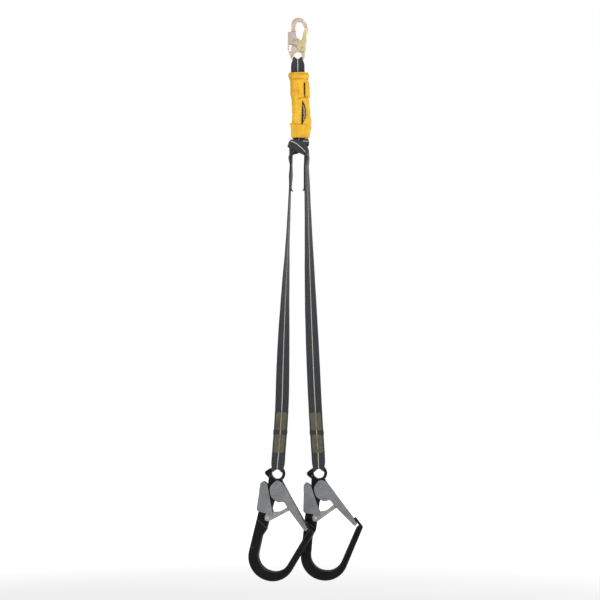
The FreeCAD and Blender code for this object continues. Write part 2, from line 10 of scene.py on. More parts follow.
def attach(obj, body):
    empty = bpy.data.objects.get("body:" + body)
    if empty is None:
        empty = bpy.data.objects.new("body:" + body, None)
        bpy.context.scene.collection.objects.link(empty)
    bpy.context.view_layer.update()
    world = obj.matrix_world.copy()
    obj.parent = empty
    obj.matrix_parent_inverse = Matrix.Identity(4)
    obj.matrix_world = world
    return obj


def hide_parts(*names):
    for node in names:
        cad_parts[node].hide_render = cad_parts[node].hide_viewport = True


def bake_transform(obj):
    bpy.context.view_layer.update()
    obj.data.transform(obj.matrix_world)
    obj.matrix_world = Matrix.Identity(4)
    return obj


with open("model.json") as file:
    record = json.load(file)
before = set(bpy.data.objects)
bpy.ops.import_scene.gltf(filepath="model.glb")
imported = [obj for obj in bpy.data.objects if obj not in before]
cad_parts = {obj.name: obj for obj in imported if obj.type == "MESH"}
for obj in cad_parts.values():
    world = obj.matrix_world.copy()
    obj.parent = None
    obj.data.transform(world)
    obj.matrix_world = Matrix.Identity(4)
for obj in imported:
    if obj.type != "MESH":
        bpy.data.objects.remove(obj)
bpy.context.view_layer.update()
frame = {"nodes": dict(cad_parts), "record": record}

# Webbing
WEB_WIDTH = 0.045
WEB_THICK = 0.0026
PLY_STEP = 0.0028
TRACER_HALF = 0.0011
COLUMNS = 15
RUN_WAVE = 0.0006

# Each leg's route, as the CAD has it, and the turn of its width away from X in degrees
LEG_ROUTE = {
    "left": [
        ((-0.024, 0.0, -0.432), 86.0),
        ((-0.0285, 0.0, -0.567), 83.0),
        ((-0.0365, -0.0025, -0.745), 74.0),
        ((-0.0455, -0.005, -0.94), 50.0),
        ((-0.0515, -0.0075, -1.13), 22.0),
        ((-0.055, -0.0095, -1.3), -6.0),
        ((-0.0656, -0.01, -1.438), -10.0),
    ],
    "right": [
        ((0.026, 0.0, -0.432), 74.0),
        ((0.0295, 0.001, -0.567), 66.0),
        ((0.0345, 0.003, -0.745), 54.0),
        ((0.0405, 0.0055, -0.94), 32.0),
        ((0.0485, 0.008, -1.13), 11.0),
        ((0.0563, 0.0105, -1.3), -3.0),
        ((0.0655, 0.011, -1.438), -4.0),
    ],
}
HOOKS = {
    "left": {"eye": (-0.0707, -0.01, -1.504), "turn": -10.0, "strap_lean": 4.4},
    "right": {"eye": (0.0685, 0.011, -1.5047), "turn": -4.0, "strap_lean": -2.6},
}
LEG_END_RISE = 0.029
LEG_STEP = 0.005
RUN_END = -1.395
EYE_JOINT = (-1.398, -1.418)
TAIL_START = -1.393
TAIL_TOP = -1.293
TAIL_STEP = 0.004
LEG_TOP = {"left": -0.415, "right": -0.435}
TOP_TAIL_END = -0.566
TOP_TAIL_STEP = 0.0035

# A leg's webbing is cupped where it comes out of the choke: it opens out between these heights
CUP_TOP = -0.426
CUP_BOTTOM = -0.498
CUP_WIDTH = 0.62
CUP_CROWN = 0.006
HOOK_EYE_MAJOR = 0.0225
HOOK_EYE_MINOR = 0.005
SNAP_EYE = (-0.0024, 0.0, -0.1135)
SNAP_EYE_MAJOR = 0.0183
SNAP_EYE_MINOR = 0.0048

# Stitch blocks on each leg's sewn end: top and bottom heights
STITCH_BLOCKS = {
    "left": ((-1.302, -1.357), (-1.3755, -1.433)),
    "right": ((-1.304, -1.36), (-1.378, -1.436)),
}
STITCH_HALF_SPAN = 0.0162
STITCH_ROWS = 12
STITCH_PITCH = 0.0031
STITCH_WIDTH = 0.0024
BOX_STITCH_WIDTH = 0.0016
STITCH_HEIGHT = 0.0007
TOP_STITCH_START = -0.446
TOP_STITCH_ROWS = 5
TOP_STITCH_SPACING = 0.0055
HEM_PITCH = 0.0034
RING_PITCH = 0.0036

# The cover's outline from top to bottom: height, left edge, right edge, half depth
COVER_OUTLINE = [
    (-0.173, -0.0285, 0.031, 0.015),
    (-0.19, -0.029, 0.0315, 0.016),
    (-0.205, -0.028, 0.035, 0.016),
    (-0.24, -0.0275, 0.037, 0.016),
    (-0.262, -0.0235, 0.035, 0.016),
    (-0.295, -0.022, 0.0385, 0.0162),
    (-0.331, -0.0225, 0.043, 0.0165),
    (-0.352, -0.0225, 0.0405, 0.0165),
    (-0.371, -0.022, 0.0355, 0.016),
    (-0.386, -0.0215, 0.034, 0.015),
]
COVER_WALL = 0.0018
FOLD_DEPTH = 0.0018
SLOT_OUTLINE = [(0.0168, -0.2045), (0.0232, -0.204), (0.0228, -0.23), (0.0222, -0.252), (0.018, -0.252)]
MOUTH_OUTLINE = [
    (0.0128, -0.263), (0.0185, -0.271), (0.0235, -0.285), (0.0262, -0.303), (0.024, -0.321),
    (0.0165, -0.338), (0.0092, -0.3475), (0.0088, -0.33), (0.0098, -0.295), (0.0108, -0.276),
]


# Small tools --------------------------------------------------------------

def link(obj):
    bpy.context.scene.collection.objects.link(obj)
    return obj


def smooth_shade(obj):
    obj.data.shade_smooth()
    return obj


def mesh_object(name, points, faces, uvs=None):
    """A mesh from points and faces, with one texture coordinate a point."""
    mesh = bpy.data.meshes.new(name)
    mesh.from_pydata([tuple(p) for p in points], [], faces)
    if uvs is not None:
        layer = mesh.uv_layers.new(name="weave")
        for loop in mesh.loops:
            layer.data[loop.index].uv = uvs[loop.vertex_index]
    mesh.update()
    return smooth_shade(link(bpy.data.objects.new(name, mesh)))


def face_outward(obj):
    """Turns every face of a closed mesh outward."""
    shell = bmesh.new()
    shell.from_mesh(obj.data)
    bmesh.ops.recalc_face_normals(shell, faces=shell.faces)
    shell.to_mesh(obj.data)
    shell.free()
    return obj


def loft_faces(count, loops, base=0, closed=False):
    """Faces between loops of count points each, with a cap on the first and the last unless they close."""
    faces = []
    for i in range(loops if closed else loops - 1):
        here, there = base + i * count, base + (i + 1) % loops * count
        for k in range(count):
            after = (k + 1) % count
            faces.append((here + k, there + k, there + after, here + after))
    if not closed:
        faces.append(tuple(range(base, base + count)))
        faces.append(tuple(reversed(range(base + (loops - 1) * count, base + loops * count))))
    return faces


def bell(offset, width):
    """1 at no offset, and close to 0 two widths away."""
    return math.exp(-((offset / width) ** 2))


def round_noise(angle, scale, level):
    """Noise that closes on itself round the pack."""
    return noise.noise(Vector((math.cos(angle) * scale, math.sin(angle) * scale, level)))


def catmull(points, samples, closed=False):
    """A smooth line through points, with the same number of samples on every span."""
    count = len(points)
    line = []
    for i in range(count if closed else count - 1):
        near = [(i + k) % count if closed else min(max(i + k, 0), count - 1) for k in (-1, 0, 1, 2)]
        a, b, c, d = (points[n] for n in near)
        for k in range(samples):
            t = k / samples
            line.append(0.5 * (2 * b + (c - a) * t + (2 * a - 5 * b + 4 * c - d) * t * t
                               + (3 * b - a - 3 * c + d) * t ** 3))
    return line if closed else line + [points[-1].copy()]


def smooth_outline(outline, samples=8):
    """A smooth closed line of (x, z) through an outline's corners."""
    return [(p.x, p.z) for p in catmull([Vector((x, 0, z)) for x, z in outline], samples, closed=True)]


def between(table, z):
    """The values of a table sorted from top to bottom at height z."""
    if z >= table[0][0]:
        return table[0][1:]
    for upper, lower in zip(table, table[1:]):
        if z >= lower[0]:
            t = (upper[0] - z) / (upper[0] - lower[0])
            return tuple(u + (v - u) * t for u, v in zip(upper[1:], lower[1:]))
    return table[-1][1:]


def frame_place(origin, turn, lean):
    """A frame at origin, leaned about Y and then turned about Z, in degrees."""
    rotation = Matrix.Rotation(math.radians(turn), 4, "Z") @ Matrix.Rotation(math.radians(lean), 4, "Y")
    return Matrix.Translation(Vector(origin)) @ rotation


def nurbs_line(points):
    """The points of a smooth line that a NURBS spline of order 3 draws through control points."""
    curve = bpy.data.curves.new("route", "CURVE")
    curve.dimensions = "3D"
    spline = curve.splines.new("NURBS")
    spline.points.add(len(points) - 1)
    for control, point in zip(spline.points, points):
        control.co = (point[0], point[1], point[2], 1.0)
    spline.order_u = 3
    spline.use_endpoint_u = True
    spline.resolution_u = 30
    obj = bpy.data.objects.new("route", curve)
    mesh = bpy.data.meshes.new_from_object(obj)
    line = [v.co.copy() for v in mesh.vertices]
    bpy.data.objects.remove(obj)
    bpy.data.meshes.remove(mesh)
    return line


def join(name, objects):
    """One mesh object from several, keeping their texture coordinates."""
    joined = bmesh.new()
    for obj in objects:
        joined.from_mesh(obj.data)
    mesh = bpy.data.meshes.new(name)
    joined.to_mesh(mesh)
    joined.free()
    for obj in objects:
        bpy.data.objects.remove(obj)
    return smooth_shade(link(bpy.data.objects.new(name, mesh)))


# Straps -------------------------------------------------------------------

def strap_normals(grid, ring):
    """The direction out of a strap's face at each of its points."""
    rows, columns = len(grid), len(grid[0])
    normals = []
    for i, row in enumerate(grid):
        before = grid[i - 1] if ring else grid[max(i - 1, 0)]
        after = grid[(i + 1) % rows] if ring else grid[min(i + 1, rows - 1)]
        across = [row[min(j + 1, columns - 1)] - row[max(j - 1, 0)] for j in range(columns)]
        normals.append([(after[j] - before[j]).cross(across[j]).normalized() for j in range(columns)])
    return normals


def strap_faces(rows, columns, ring):
    """Faces of a strap whose points are, row by row, its front ones and then its back ones."""

    def index(i, side, j):
        return (i % rows * 2 + side) * columns + j

    faces = []
    for i in range(rows if ring else rows - 1):
        for j in range(columns - 1):
            for side, a, b in ((0, j, j + 1), (1, j + 1, j)):
                corners = ((i, a), (i, b), (i + 1, b), (i + 1, a))
                faces.append(tuple(index(row, side, column) for row, column in corners))
        for j in (0, columns - 1):
            faces.append((index(i, 1, j), index(i, 0, j), index(i + 1, 0, j), index(i + 1, 1, j)))
    for i in () if ring else (0, rows - 1):
        for j in range(columns - 1):
            faces.append((index(i, 0, j), index(i, 1, j), index(i, 1, j + 1), index(i, 0, j + 1)))
    return faces


def strap(name, grid, thick=WEB_THICK, wave=0.0, ring=False, shares=False):
    """A strap with rounded edges from its middle surface: rows along it, each with its points across."""
    rows, columns = len(grid), len(grid[0])
    middle, last = columns // 2, columns - 1
    points, uvs = [], []
    run = 0.0
    for i, normals in enumerate(strap_normals(grid, ring)):
        row = grid[i]
        if i:
            run += (row[middle] - grid[i - 1][middle]).length
        spread = [0.0]
        for j in range(last):
            spread.append(spread[-1] + (row[j + 1] - row[j]).length)
        for side in (1, -1):
            for j in range(columns):
                lift = side * (0.5 if j in (0, last) else 1.0) * thick / 2
                if wave:
                    lift += wave * noise.noise(row[j] * 22.0)
                points.append(row[j] + normals[j] * lift)
                uvs.append((j / last, run) if shares else (spread[j] - spread[middle], run))
    return face_outward(mesh_object(name, points, strap_faces(rows, columns, ring), uvs))


def column_shares(columns=COLUMNS):
    return [j / (columns - 1) - 0.5 for j in range(columns)]


def row_points(centre, across, width=WEB_WIDTH, columns=COLUMNS, crown=0.0, out=None, upper=1.0):
    """Points across a strap; a crown lifts its middle along out, and upper narrows its first half."""
    row = []
    for share in column_shares(columns):
        reach = width * (upper if share > 0 else 1.0)
        point = Vector(centre) + Vector(across) * (share * reach)
        if crown:
            point += Vector(out) * (crown * (1 - 4 * share * share))
        row.append(point)
    return row


def lofted(control_rows, samples):
    """A grid through control rows, smooth along every column."""
    lines = [catmull([row[j] for row in control_rows], samples) for j in range(len(control_rows[0]))]
    return [[line[i] for line in lines] for i in range(len(lines[0]))]


def eye_rows(place, major, minor, width, half_angle, front, back, rise):
    """Control rows of webbing that goes behind a ring's bar, under it and up in front."""
    bar = minor + 0.0003 + WEB_THICK / 2
    knee = major + minor + 0.0045

    def level(narrowing, y, z):
        return [(share * width * narrowing, y, z) for share in column_shares()]

    rows = [level(1, back, rise), level(0.985, (back + bar) / 2 + 0.0005, (rise + knee) / 2)]
    rows.append(level(0.95, bar, knee))
    for wrap in (90, 60, 30, 0, -30, -60, -90):
        inside = math.cos(math.radians(wrap))
        radius = major - bar * inside
        corner = math.radians(half_angle * (1 + 0.38 * inside))
        straight = 0.6 * inside
        row = []
        for share in column_shares():
            turn = 2 * share * corner
            chord_x = 2 * share * radius * math.sin(corner)
            chord_z = radius * (1 - abs(2 * share) * (1 - math.cos(corner)))
            x = radius * math.sin(turn) * (1 - straight) + chord_x * straight
            z = radius * math.cos(turn) * (1 - straight) + chord_z * straight
            row.append((x, bar * math.sin(math.radians(wrap)), z))
        rows.append(row)
    rows += [level(0.95, -bar, knee), level(0.985, (front - bar) / 2 - 0.0005, (rise + knee) / 2),
             level(1, front, rise)]
    return [[place @ Vector(p) for p in row] for row in rows]


# Legs ---------------------------------------------------------------------

def leg_line(side):
    """The leg's smooth centreline, from the choke down to the hook's eye."""
    route = [point for point, _ in LEG_ROUTE[side]]
    eye = HOOKS[side]["eye"]
    lean = math.radians(HOOKS[side]["strap_lean"])
    end = (eye[0] + LEG_END_RISE * math.sin(lean), eye[1], eye[2] + LEG_END_RISE * math.cos(lean))
    return nurbs_line(route + [end])


def leg_station(side, line, z):
    """The point of a leg's line at a height, with the directions across and out of the strap's back."""
    if z > line[0].z:
        point = line[0] + Vector((0, 0, z - line[0].z))
        return (point, *leg_station(side, line, line[0].z)[1:])
    for upper, lower in zip(line, line[1:]):
        if lower.z <= z:
            t = (upper.z - z) / max(upper.z - lower.z, 1e-9)
            point = upper.lerp(lower, min(max(t, 0.0), 1.0))
            break
    else:
        point = line[-1].copy()
    turns = [(place[2], turn) for place, turn in LEG_ROUTE[side]]
    turn = sum(between(turns, z + step)[0] for step in (-0.03, 0.0, 0.03)) / 3
    if side == "left":
        turn -= 6.0 * bell(z + 0.512, 0.02)
    angle = math.radians(turn)
    across = Vector((math.cos(angle), math.sin(angle), 0))
    out = Vector((-math.sin(angle), math.cos(angle), 0))
    return point, across, out


def leg_row(side, line, z, shift=0.0, width=WEB_WIDTH):
    """Points across a leg's webbing at a height, shifted toward its back; it is cupped near the choke."""
    point, across, out = leg_station(side, line, z)
    share = min(max((CUP_TOP - z) / (CUP_TOP - CUP_BOTTOM), 0.0), 1.0)
    share = share * share * (3 - 2 * share)
    outward = -out if side == "right" else out
    return row_points(point + out * shift, across, width * (CUP_WIDTH + (1 - CUP_WIDTH) * share),
                      crown=CUP_CROWN * (1 - share), out=outward)


def flat_row(side, line, z, ply=0):
    """Points across a leg's webbing at a height, on its back ply (0) or its front one (1)."""
    point, across, out = leg_station(side, line, z)
    return row_points(point - out * (PLY_STEP * ply), across)


def sewn_tail(side, line):
    """Rows up the leg's front ply to its cut end, which lifts off; it is widest between the stitch blocks."""
    blocks = STITCH_BLOCKS[side]
    block_gap = (blocks[0][1] + blocks[1][0]) / 2
    rows = []
    z = TAIL_START
    while z < TAIL_TOP:
        point, across, out = leg_station(side, line, z)
        flare = max(0.0, (z - TAIL_TOP + 0.008) / 0.008)
        slip = 0.0028 * flare * (1 if side == "left" else -0.2)
        centre = point - out * (PLY_STEP + 0.0026 * flare) + across * slip
        row = row_points(centre, across, WEB_WIDTH * (1 + 0.07 * bell(z - block_gap, 0.007)))
        if flare:
            row = [p + Vector((0, 0, 0.004 * flare * (j / COLUMNS - 0.5))) for j, p in enumerate(row)]
        rows.append(row)
        z += TAIL_STEP
    return rows


def leg_strap(side, line):
    """One length of webbing: down the leg, round the hook's eye, and back up to the end of its sewn tail."""
    hook = HOOKS[side]
    place = frame_place(hook["eye"], hook["turn"], hook["strap_lean"])
    grid = []
    z = LEG_TOP[side]
    while z > RUN_END:
        grid.append(leg_row(side, line, z))
        z -= LEG_STEP
    joint = [flat_row(side, line, z) for z in EYE_JOINT]
    joint += eye_rows(place, HOOK_EYE_MAJOR, HOOK_EYE_MINOR, WEB_WIDTH, 54, -0.0019, 0.001, 0.064)
    joint += [flat_row(side, line, z, 1) for z in reversed(EYE_JOINT)]
    return strap(f"{side}_leg_run", grid + lofted(joint, 6) + sewn_tail(side, line), wave=RUN_WAVE)


def top_tail(side, line):
    """The other end of the webbing, sewn back on the leg's inner face below the choke."""
    inward = 1 if side == "right" else -1
    grid = []
    z = LEG_TOP[side] - 0.002
    while z > TOP_TAIL_END:
        flare = max(0.0, (TOP_TAIL_END + 0.014 - z) / 0.014)
        grid.append(leg_row(side, line, z, inward * (PLY_STEP + 0.0075 * flare * flare), WEB_WIDTH - 0.001))
        z -= TOP_TAIL_STEP
    return strap(f"{side}_leg_top_tail", grid, wave=RUN_WAVE / 2)


class Stitches:
    """Beads of thread gathered into one mesh."""

    def __init__(self):
        self.points, self.faces = [], []

    def add(self, centre, along, across, out, length, width, height):
        """One stitch: a small rounded bead of thread lying on a surface."""
        self.faces += loft_faces(4, 4, len(self.points))
        for share, size in ((-0.5, 0.55), (-0.3, 0.95), (0.3, 0.95), (0.5, 0.55)):
            middle = centre + along * (share * length)
            side = across * (width / 2 * size)
            self.points += [middle + side, middle - out * (height * 0.4), middle - side,
                            middle + out * (height * size)]

    def both_sides(self, place, out, heights, along, across, length, width=STITCH_WIDTH):
        """The same stitch on two faces of some plies, each at its height and with the way it looks."""
        for height, way in heights:
            self.add(place + out * height, along, across, out * way, length, width, STITCH_HEIGHT)

    def hem(self, place, along, across, out, pitch):
        self.add(place, along, across, out, pitch * 0.68, 0.0008, 0.0005)

    def mesh(self, name):
        return mesh_object(name, self.points, self.faces)


def stitch_block(thread, side, line, top, bottom, heights):
    """Lengthwise zigzag rows of thread through the sewn plies, with a straight row above and below."""
    for row in range(STITCH_ROWS):
        offset = (row / (STITCH_ROWS - 1) * 2 - 1) * STITCH_HALF_SPAN
        inset = 0.0022 if row in (0, STITCH_ROWS - 1) else 0.0
        zigzag = 0.3
        z = top - inset - (row % 2) * STITCH_PITCH / 2
        while z > bottom + inset:
            point, across, out = leg_station(side, line, z)
            drop = (leg_station(side, line, z - 0.002)[0] - point).normalized()
            drop = (drop + across * zigzag).normalized()
            thread.both_sides(point + across * offset, out, heights, drop, across, STITCH_PITCH * 1.12)
            z -= STITCH_PITCH
            zigzag = -zigzag
    for z in (top + 0.0002, bottom - 0.0002):
        point, across, out = leg_station(side, line, z)
        count = int(2 * STITCH_HALF_SPAN * 0.86 / STITCH_PITCH)
        for k in range(count + 1):
            place = point + across * ((k / count * 2 - 1) * STITCH_HALF_SPAN * 0.86)
            thread.both_sides(place, out, heights, across, Vector((0, 0, 1)), STITCH_PITCH, BOX_STITCH_WIDTH)


def leg_stitching(side, line):
    """The thread of a leg: two blocks above the hook, and straight rows through the tail below the choke."""
    thread = Stitches()
    front, back = PLY_STEP + WEB_THICK / 2, WEB_THICK / 2
    for top, bottom in STITCH_BLOCKS[side]:
        stitch_block(thread, side, line, top, bottom, ((-front, -1), (back, 1)))
    inward = 1 if side == "right" else -1
    heights = ((inward * front, inward), (-inward * back, -inward))
    for row in range(TOP_STITCH_ROWS):
        offset = (row - TOP_STITCH_ROWS // 2) * TOP_STITCH_SPACING
        z = TOP_STITCH_START - (row % 2) * STITCH_PITCH / 2
        while z > TOP_TAIL_END + 0.02:
            point, across, out = leg_station(side, line, z)
            down = Vector((0, 0, -1))
            thread.both_sides(point + across * offset, out, heights, down, across, STITCH_PITCH * 1.02)
            z -= STITCH_PITCH
    return thread.mesh(f"{side}_leg_thread")


def legs():
    for side in ("left", "right"):
        line = leg_line(side)
        webbing = join(f"{side}_leg_strap", [leg_strap(side, line), top_tail(side, line)])
        thread = leg_stitching(side, line)
        dress(webbing, "charcoal_webbing")
        dress(thread, "olive_thread")
        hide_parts(f"{side}_leg_webbing")
        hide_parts(f"{side}_leg_stitching")
        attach(webbing, f"{side}_leg")
        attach(thread, f"{side}_leg")


# Absorber -----------------------------------------------------------------

def ring_points(left, right, half_depth, z, count, square=3.4):
    """A rounded rectangle of points at height z, anticlockwise seen from above, from its right side."""
    middle, half = (left + right) / 2, (right - left) / 2
    row = []
    for k in range(count):
        angle = 2 * math.pi * k / count
        c, s = math.cos(angle), math.sin(angle)
        x = math.copysign(abs(c) ** (2 / square), c) * half
        y = math.copysign(abs(s) ** (2 / square), s) * half_depth
        row.append(Vector((middle + x, y, z)))
    return row


def closed_tube(name, rings):
    """A closed form through rings, with a face at each end."""
    points = [p for ring in rings for p in ring]
    return mesh_object(name, points, loft_faces(len(rings[0]), len(rings)))


def apply_modifiers(obj):
    """Bakes an object's modifiers into its mesh."""
    graph = bpy.context.evaluated_depsgraph_get()
    mesh = bpy.data.meshes.new_from_object(obj.evaluated_get(graph))
    old = obj.data
    obj.modifiers.clear()
    obj.data = mesh
    bpy.data.meshes.remove(old)
    return obj


def inflate(obj, pressure, cap, frames=20):
    """Cloth under inside pressure for a few frames; no point moves further than cap."""
    before = [v.co.copy() for v in obj.data.vertices]
    cloth = obj.modifiers.new("Cloth", "CLOTH")
    cloth.settings.use_pressure = True
    cloth.settings.uniform_pressure_force = pressure
    cloth.settings.effector_weights.gravity = 0.0
    cloth.settings.quality = 6
    cloth.point_cache.frame_start = 1
    cloth.point_cache.frame_end = frames
    scene = bpy.context.scene
    for number in range(1, frames + 1):
        scene.frame_set(number)
    evaluated = obj.evaluated_get(bpy.context.evaluated_depsgraph_get())
    after = [v.co.copy() for v in evaluated.data.vertices]
    obj.modifiers.clear()
    scene.frame_set(1)
    for vertex, old, new in zip(obj.data.vertices, before, after):
        move = new - old
        vertex.co = old + (move.normalized() * cap if move.length > cap else move)


def cover_relief(x, z, front):
    """How far the cover's cloth stands out at a place on its face: soft ribs, tucks and creases."""
    relief = 0.0
    if front:
        ribs = bell(x + 0.002, 0.017) * bell(z + 0.245, 0.075)
        relief += 0.00115 * ribs * math.sin(2 * math.pi * (x + 0.0015 * math.sin(z * 60)) / 0.0078)
        crease = (z + 0.2565) - 0.22 * (x - 0.004)
        if -0.004 < x < 0.04:
            relief += 0.0012 * bell(crease - 0.006, 0.004) - 0.0034 * bell(crease, 0.0016)
    relief += 0.0019 * noise.noise(Vector((x * 55, z * 28, 3.1 if front else 7.7)))
    relief += 0.0008 * noise.noise(Vector((x * 160, z * 70, 1.3 if front else 4.4)))
    return relief


def prism(name, outline, front, back):
    """A cutter with an outline in X and Z, from front to back in Y."""
    points = [(x, y, z) for y in (front, back) for x, z in outline]
    return face_outward(mesh_object(name, points, loft_faces(len(outline), 2)))


def refit(block):
    """Brings the swelled cloth back to the cover's outline, level by level."""
    step = 0.004
    top = COVER_OUTLINE[0][0]
    levels = {}
    for vertex in block.data.vertices:
        levels.setdefault(round((top - vertex.co.z) / step), []).append(vertex.co.x)
    numbers = range(min(levels), max(levels) + 1)
    reach = {n: (min(levels.get(n, [0.0])), max(levels.get(n, [0.0]))) for n in numbers}

    def level_reach(number):
        near = [reach[min(max(number + shift, numbers[0]), numbers[-1])] for shift in (-1, 0, 1)]
        return tuple(sum(pair[k] for pair in near) / 3 for k in (0, 1))

    for vertex in block.data.vertices:
        share = (top - vertex.co.z) / step
        number = math.floor(share)
        t = share - number
        (a, b), (c, d) = level_reach(number), level_reach(number + 1)
        swelled_left, swelled_right = a + (c - a) * t, b + (d - b) * t
        left, right, _ = between(COVER_OUTLINE, vertex.co.z)
        across = (vertex.co.x - swelled_left) / max(swelled_right - swelled_left, 1e-6)
        vertex.co.x = left + (right - left) * across


def widened(outline, margin):
    """A smooth line round an outline, moved outward by a margin."""
    line = smooth_outline(outline, 5)
    middle = Vector((sum(x for x, _ in line) / len(line), sum(z for _, z in line) / len(line)))
    moved = []
    for x, z in line:
        out = Vector((x, z)) - middle
        out.y *= 0.25
        out.normalize()
        moved.append((x + out.x * margin, z + out.y * margin))
    return moved


def cover_block():
    """The padded pack's cloth surface, swelled by simulation and then creased."""
    rings = []
    levels = 36
    top, bottom = COVER_OUTLINE[0][0], COVER_OUTLINE[-1][0]
    for i in range(levels + 1):
        z = top + (bottom - top) * i / levels
        left, right, depth = between(COVER_OUTLINE, z)
        rings.append(ring_points(left + 0.0018, right - 0.0018, depth - 0.0022, z, 48))
    block = closed_tube("absorber_cover_cloth", rings)
    remesh = block.modifiers.new("Remesh", "REMESH")
    remesh.mode = "VOXEL"
    remesh.voxel_size = 0.004
    apply_modifiers(block)
    inflate(block, 4.0, 0.0045)
    subdivision = block.modifiers.new("Subdivision", "SUBSURF")
    subdivision.levels = 1
    apply_modifiers(block)
    refit(block)
    block.data.update()
    # fold holds how deep each point of the cloth is pressed in, for the painted shade in its creases.
    fold = block.data.attributes.new("fold", "FLOAT", "POINT")
    for vertex, normal in [(v, v.normal.copy()) for v in block.data.vertices]:
        z = vertex.co.z
        side = abs(normal.y)
        fade = min(1.0, max(0.0, (top - z) / 0.012), max(0.0, (z - bottom) / 0.012))
        lift = cover_relief(vertex.co.x, z, normal.y < 0) * side
        lift += 0.001 * (1 - side) * noise.noise(Vector((vertex.co.y * 60, z * 40, 9.2)))
        fold.data[vertex.index].value = min(max(-lift / FOLD_DEPTH, 0.0), 1.0)
        vertex.co += normal * (lift * fade)
    return smooth_shade(block)


class Skin:
    """Finds the front of a mesh at a place, so that trims lie on it."""

    def __init__(self, obj):
        mesh = obj.data
        faces = [tuple(p.vertices) for p in mesh.polygons]
        self.tree = BVHTree.FromPolygons([v.co for v in mesh.vertices], faces)

    def front(self, x, z, lift):
        hit, normal, _, _ = self.tree.ray_cast(Vector((x, -0.2, z)), Vector((0, 1, 0)))
        if hit is None:
            return Vector((x, -0.016 - lift, z)), Vector((0, -1, 0))
        return hit + Vector((0, -lift, 0)), normal

    def toward(self, point, centre, lift):
        """Where a line from outside toward centre meets the skin, lifted outward."""
        inward = (centre - point).normalized()
        hit = self.tree.ray_cast(centre - inward * 0.2, inward)[0]
        return point if hit is None else hit - inward * lift


def tube(name, line, radius, sides=8):
    """A closed round cord of cloth along a line."""
    count = len(line)
    points = []
    for i, p in enumerate(line):
        along = (line[(i + 1) % count] - line[i - 1]).normalized()
        side = along.cross(Vector((0, 1, 0))).normalized()
        up = side.cross(along)
        for k in range(sides):
            angle = -2 * math.pi * k / sides
            points.append(p + side * (radius * math.cos(angle)) + up * (radius * math.sin(angle)))
    return mesh_object(name, points, loft_faces(sides, count, closed=True))


def cut(obj, cutters):
    for cutter in cutters:
        hole = obj.modifiers.new("Hole", "BOOLEAN")
        hole.operation = "DIFFERENCE"
        hole.solver = "EXACT"
        hole.object = cutter
    apply_modifiers(obj)
    for cutter in cutters:
        bpy.data.objects.remove(cutter)
    return obj


def cover():
    """The cover as a hollow shell of cloth, cut through at its slot and its mouth."""
    block = cover_block()
    skin = Skin(block)
    shell = block.modifiers.new("Wall", "SOLIDIFY")
    shell.thickness = COVER_WALL
    shell.offset = -1.0
    apply_modifiers(block)
    slot = prism("slot_cutter", SLOT_OUTLINE, -0.04, -0.006)
    mouth = prism("mouth_cutter", smooth_outline(MOUTH_OUTLINE, 5), -0.04, -0.006)
    cut(block, [slot, mouth])
    return smooth_shade(block), skin


def cover_trims(skin):
    """Rolled edges round the slot and the mouth."""
    edges = []
    for outline in (SLOT_OUTLINE, MOUTH_OUTLINE):
        line = [skin.front(x, z, 0.0001)[0] for x, z in smooth_outline(outline)]
        edges.append(tube("edge", line, 0.0009))
    return join("cover_rolled_edges", edges)


def paced(spans, pitch):
    """Places one pitch apart along joined spans, each with its span's number and direction."""
    carried = 0.0
    for number, (a, b) in enumerate(spans):
        span, along = (b - a).length, (b - a).normalized()
        while carried < span:
            yield number, a + along * carried, along
            carried += pitch
        carried -= span


def hem_thread(name, skin, lines):
    """Rows of stitches along lines of (x, z) on the pack's front."""
    thread = Stitches()
    for line in lines:
        places = [Vector((x, 0, z)) for x, z in line]
        for _, p, along in paced(zip(places, places[1:]), HEM_PITCH):
            place, normal = skin.front(p.x, p.z, 0.0002)
            thread.hem(place, along, normal.cross(along).normalized(), normal, HEM_PITCH)
    return thread.mesh(name)


def band_grid(skin, top_of, bottom_of, lift, flare, steps, count=96):
    """A ring of cloth round the pack: its rows run round, and its columns run from top to bottom."""
    grid = []
    for k in range(count):
        angle = -2 * math.pi * k / count
        row = []
        for j in range(steps):
            share = j / (steps - 1)
            z = top_of(angle) * (1 - share) + bottom_of(angle) * share
            left, right, depth = between(COVER_OUTLINE, z)
            centre = Vector(((left + right) / 2, 0, z))
            half = (right - left) / 2
            c, s = math.cos(angle), math.sin(angle)
            rim = Vector((math.copysign(abs(c) ** 0.6, c) * half, math.copysign(abs(s) ** 0.6, s) * depth, 0))
            row.append(skin.toward(centre + rim, centre, lift) + rim.normalized() * flare(angle, share))
        grid.append(row)
    return grid


def ring_thread(name, grid, columns):
    """Stitches that run round a band along some of its columns."""
    thread = Stitches()
    for column in columns:
        ring = [row[column] for row in grid]
        for number, place, along in paced(zip(ring, ring[1:] + ring[:1]), RING_PITCH):
            up = (grid[number][column - 1] - grid[number][column + 1]).normalized()
            out = up.cross(along).normalized()
            if out.dot(ring[number] - Vector((0.003, 0, ring[number].z))) < 0:
                out = -out
            thread.hem(place + out * 0.0012, along, up, out, RING_PITCH)
    return thread.mesh(name)


def collar(skin):
    """The upper hem: a doubled ring of cloth with an uneven edge, and its thread."""

    def top_of(angle):
        return -0.1695 + 0.0012 * round_noise(angle, 3, 0.4)

    def bottom_of(angle):
        return -0.1915 + 0.0012 * round_noise(angle, 2, 5.4)

    def flare(angle, share):
        roll = 0.0016 * math.sin(math.pi * min(share * 1.15, 1.0))
        corner = 0.003 * bell(abs(angle) - math.pi, 0.35) * (1 - share)
        return roll + 0.0011 * round_noise(angle, 5, share * 1.5) + corner

    grid = band_grid(skin, top_of, bottom_of, 0.0013, flare, steps=9)
    return strap("upper_collar_cloth", grid, 0.0022, ring=True), ring_thread("collar_thread", grid, (7,))


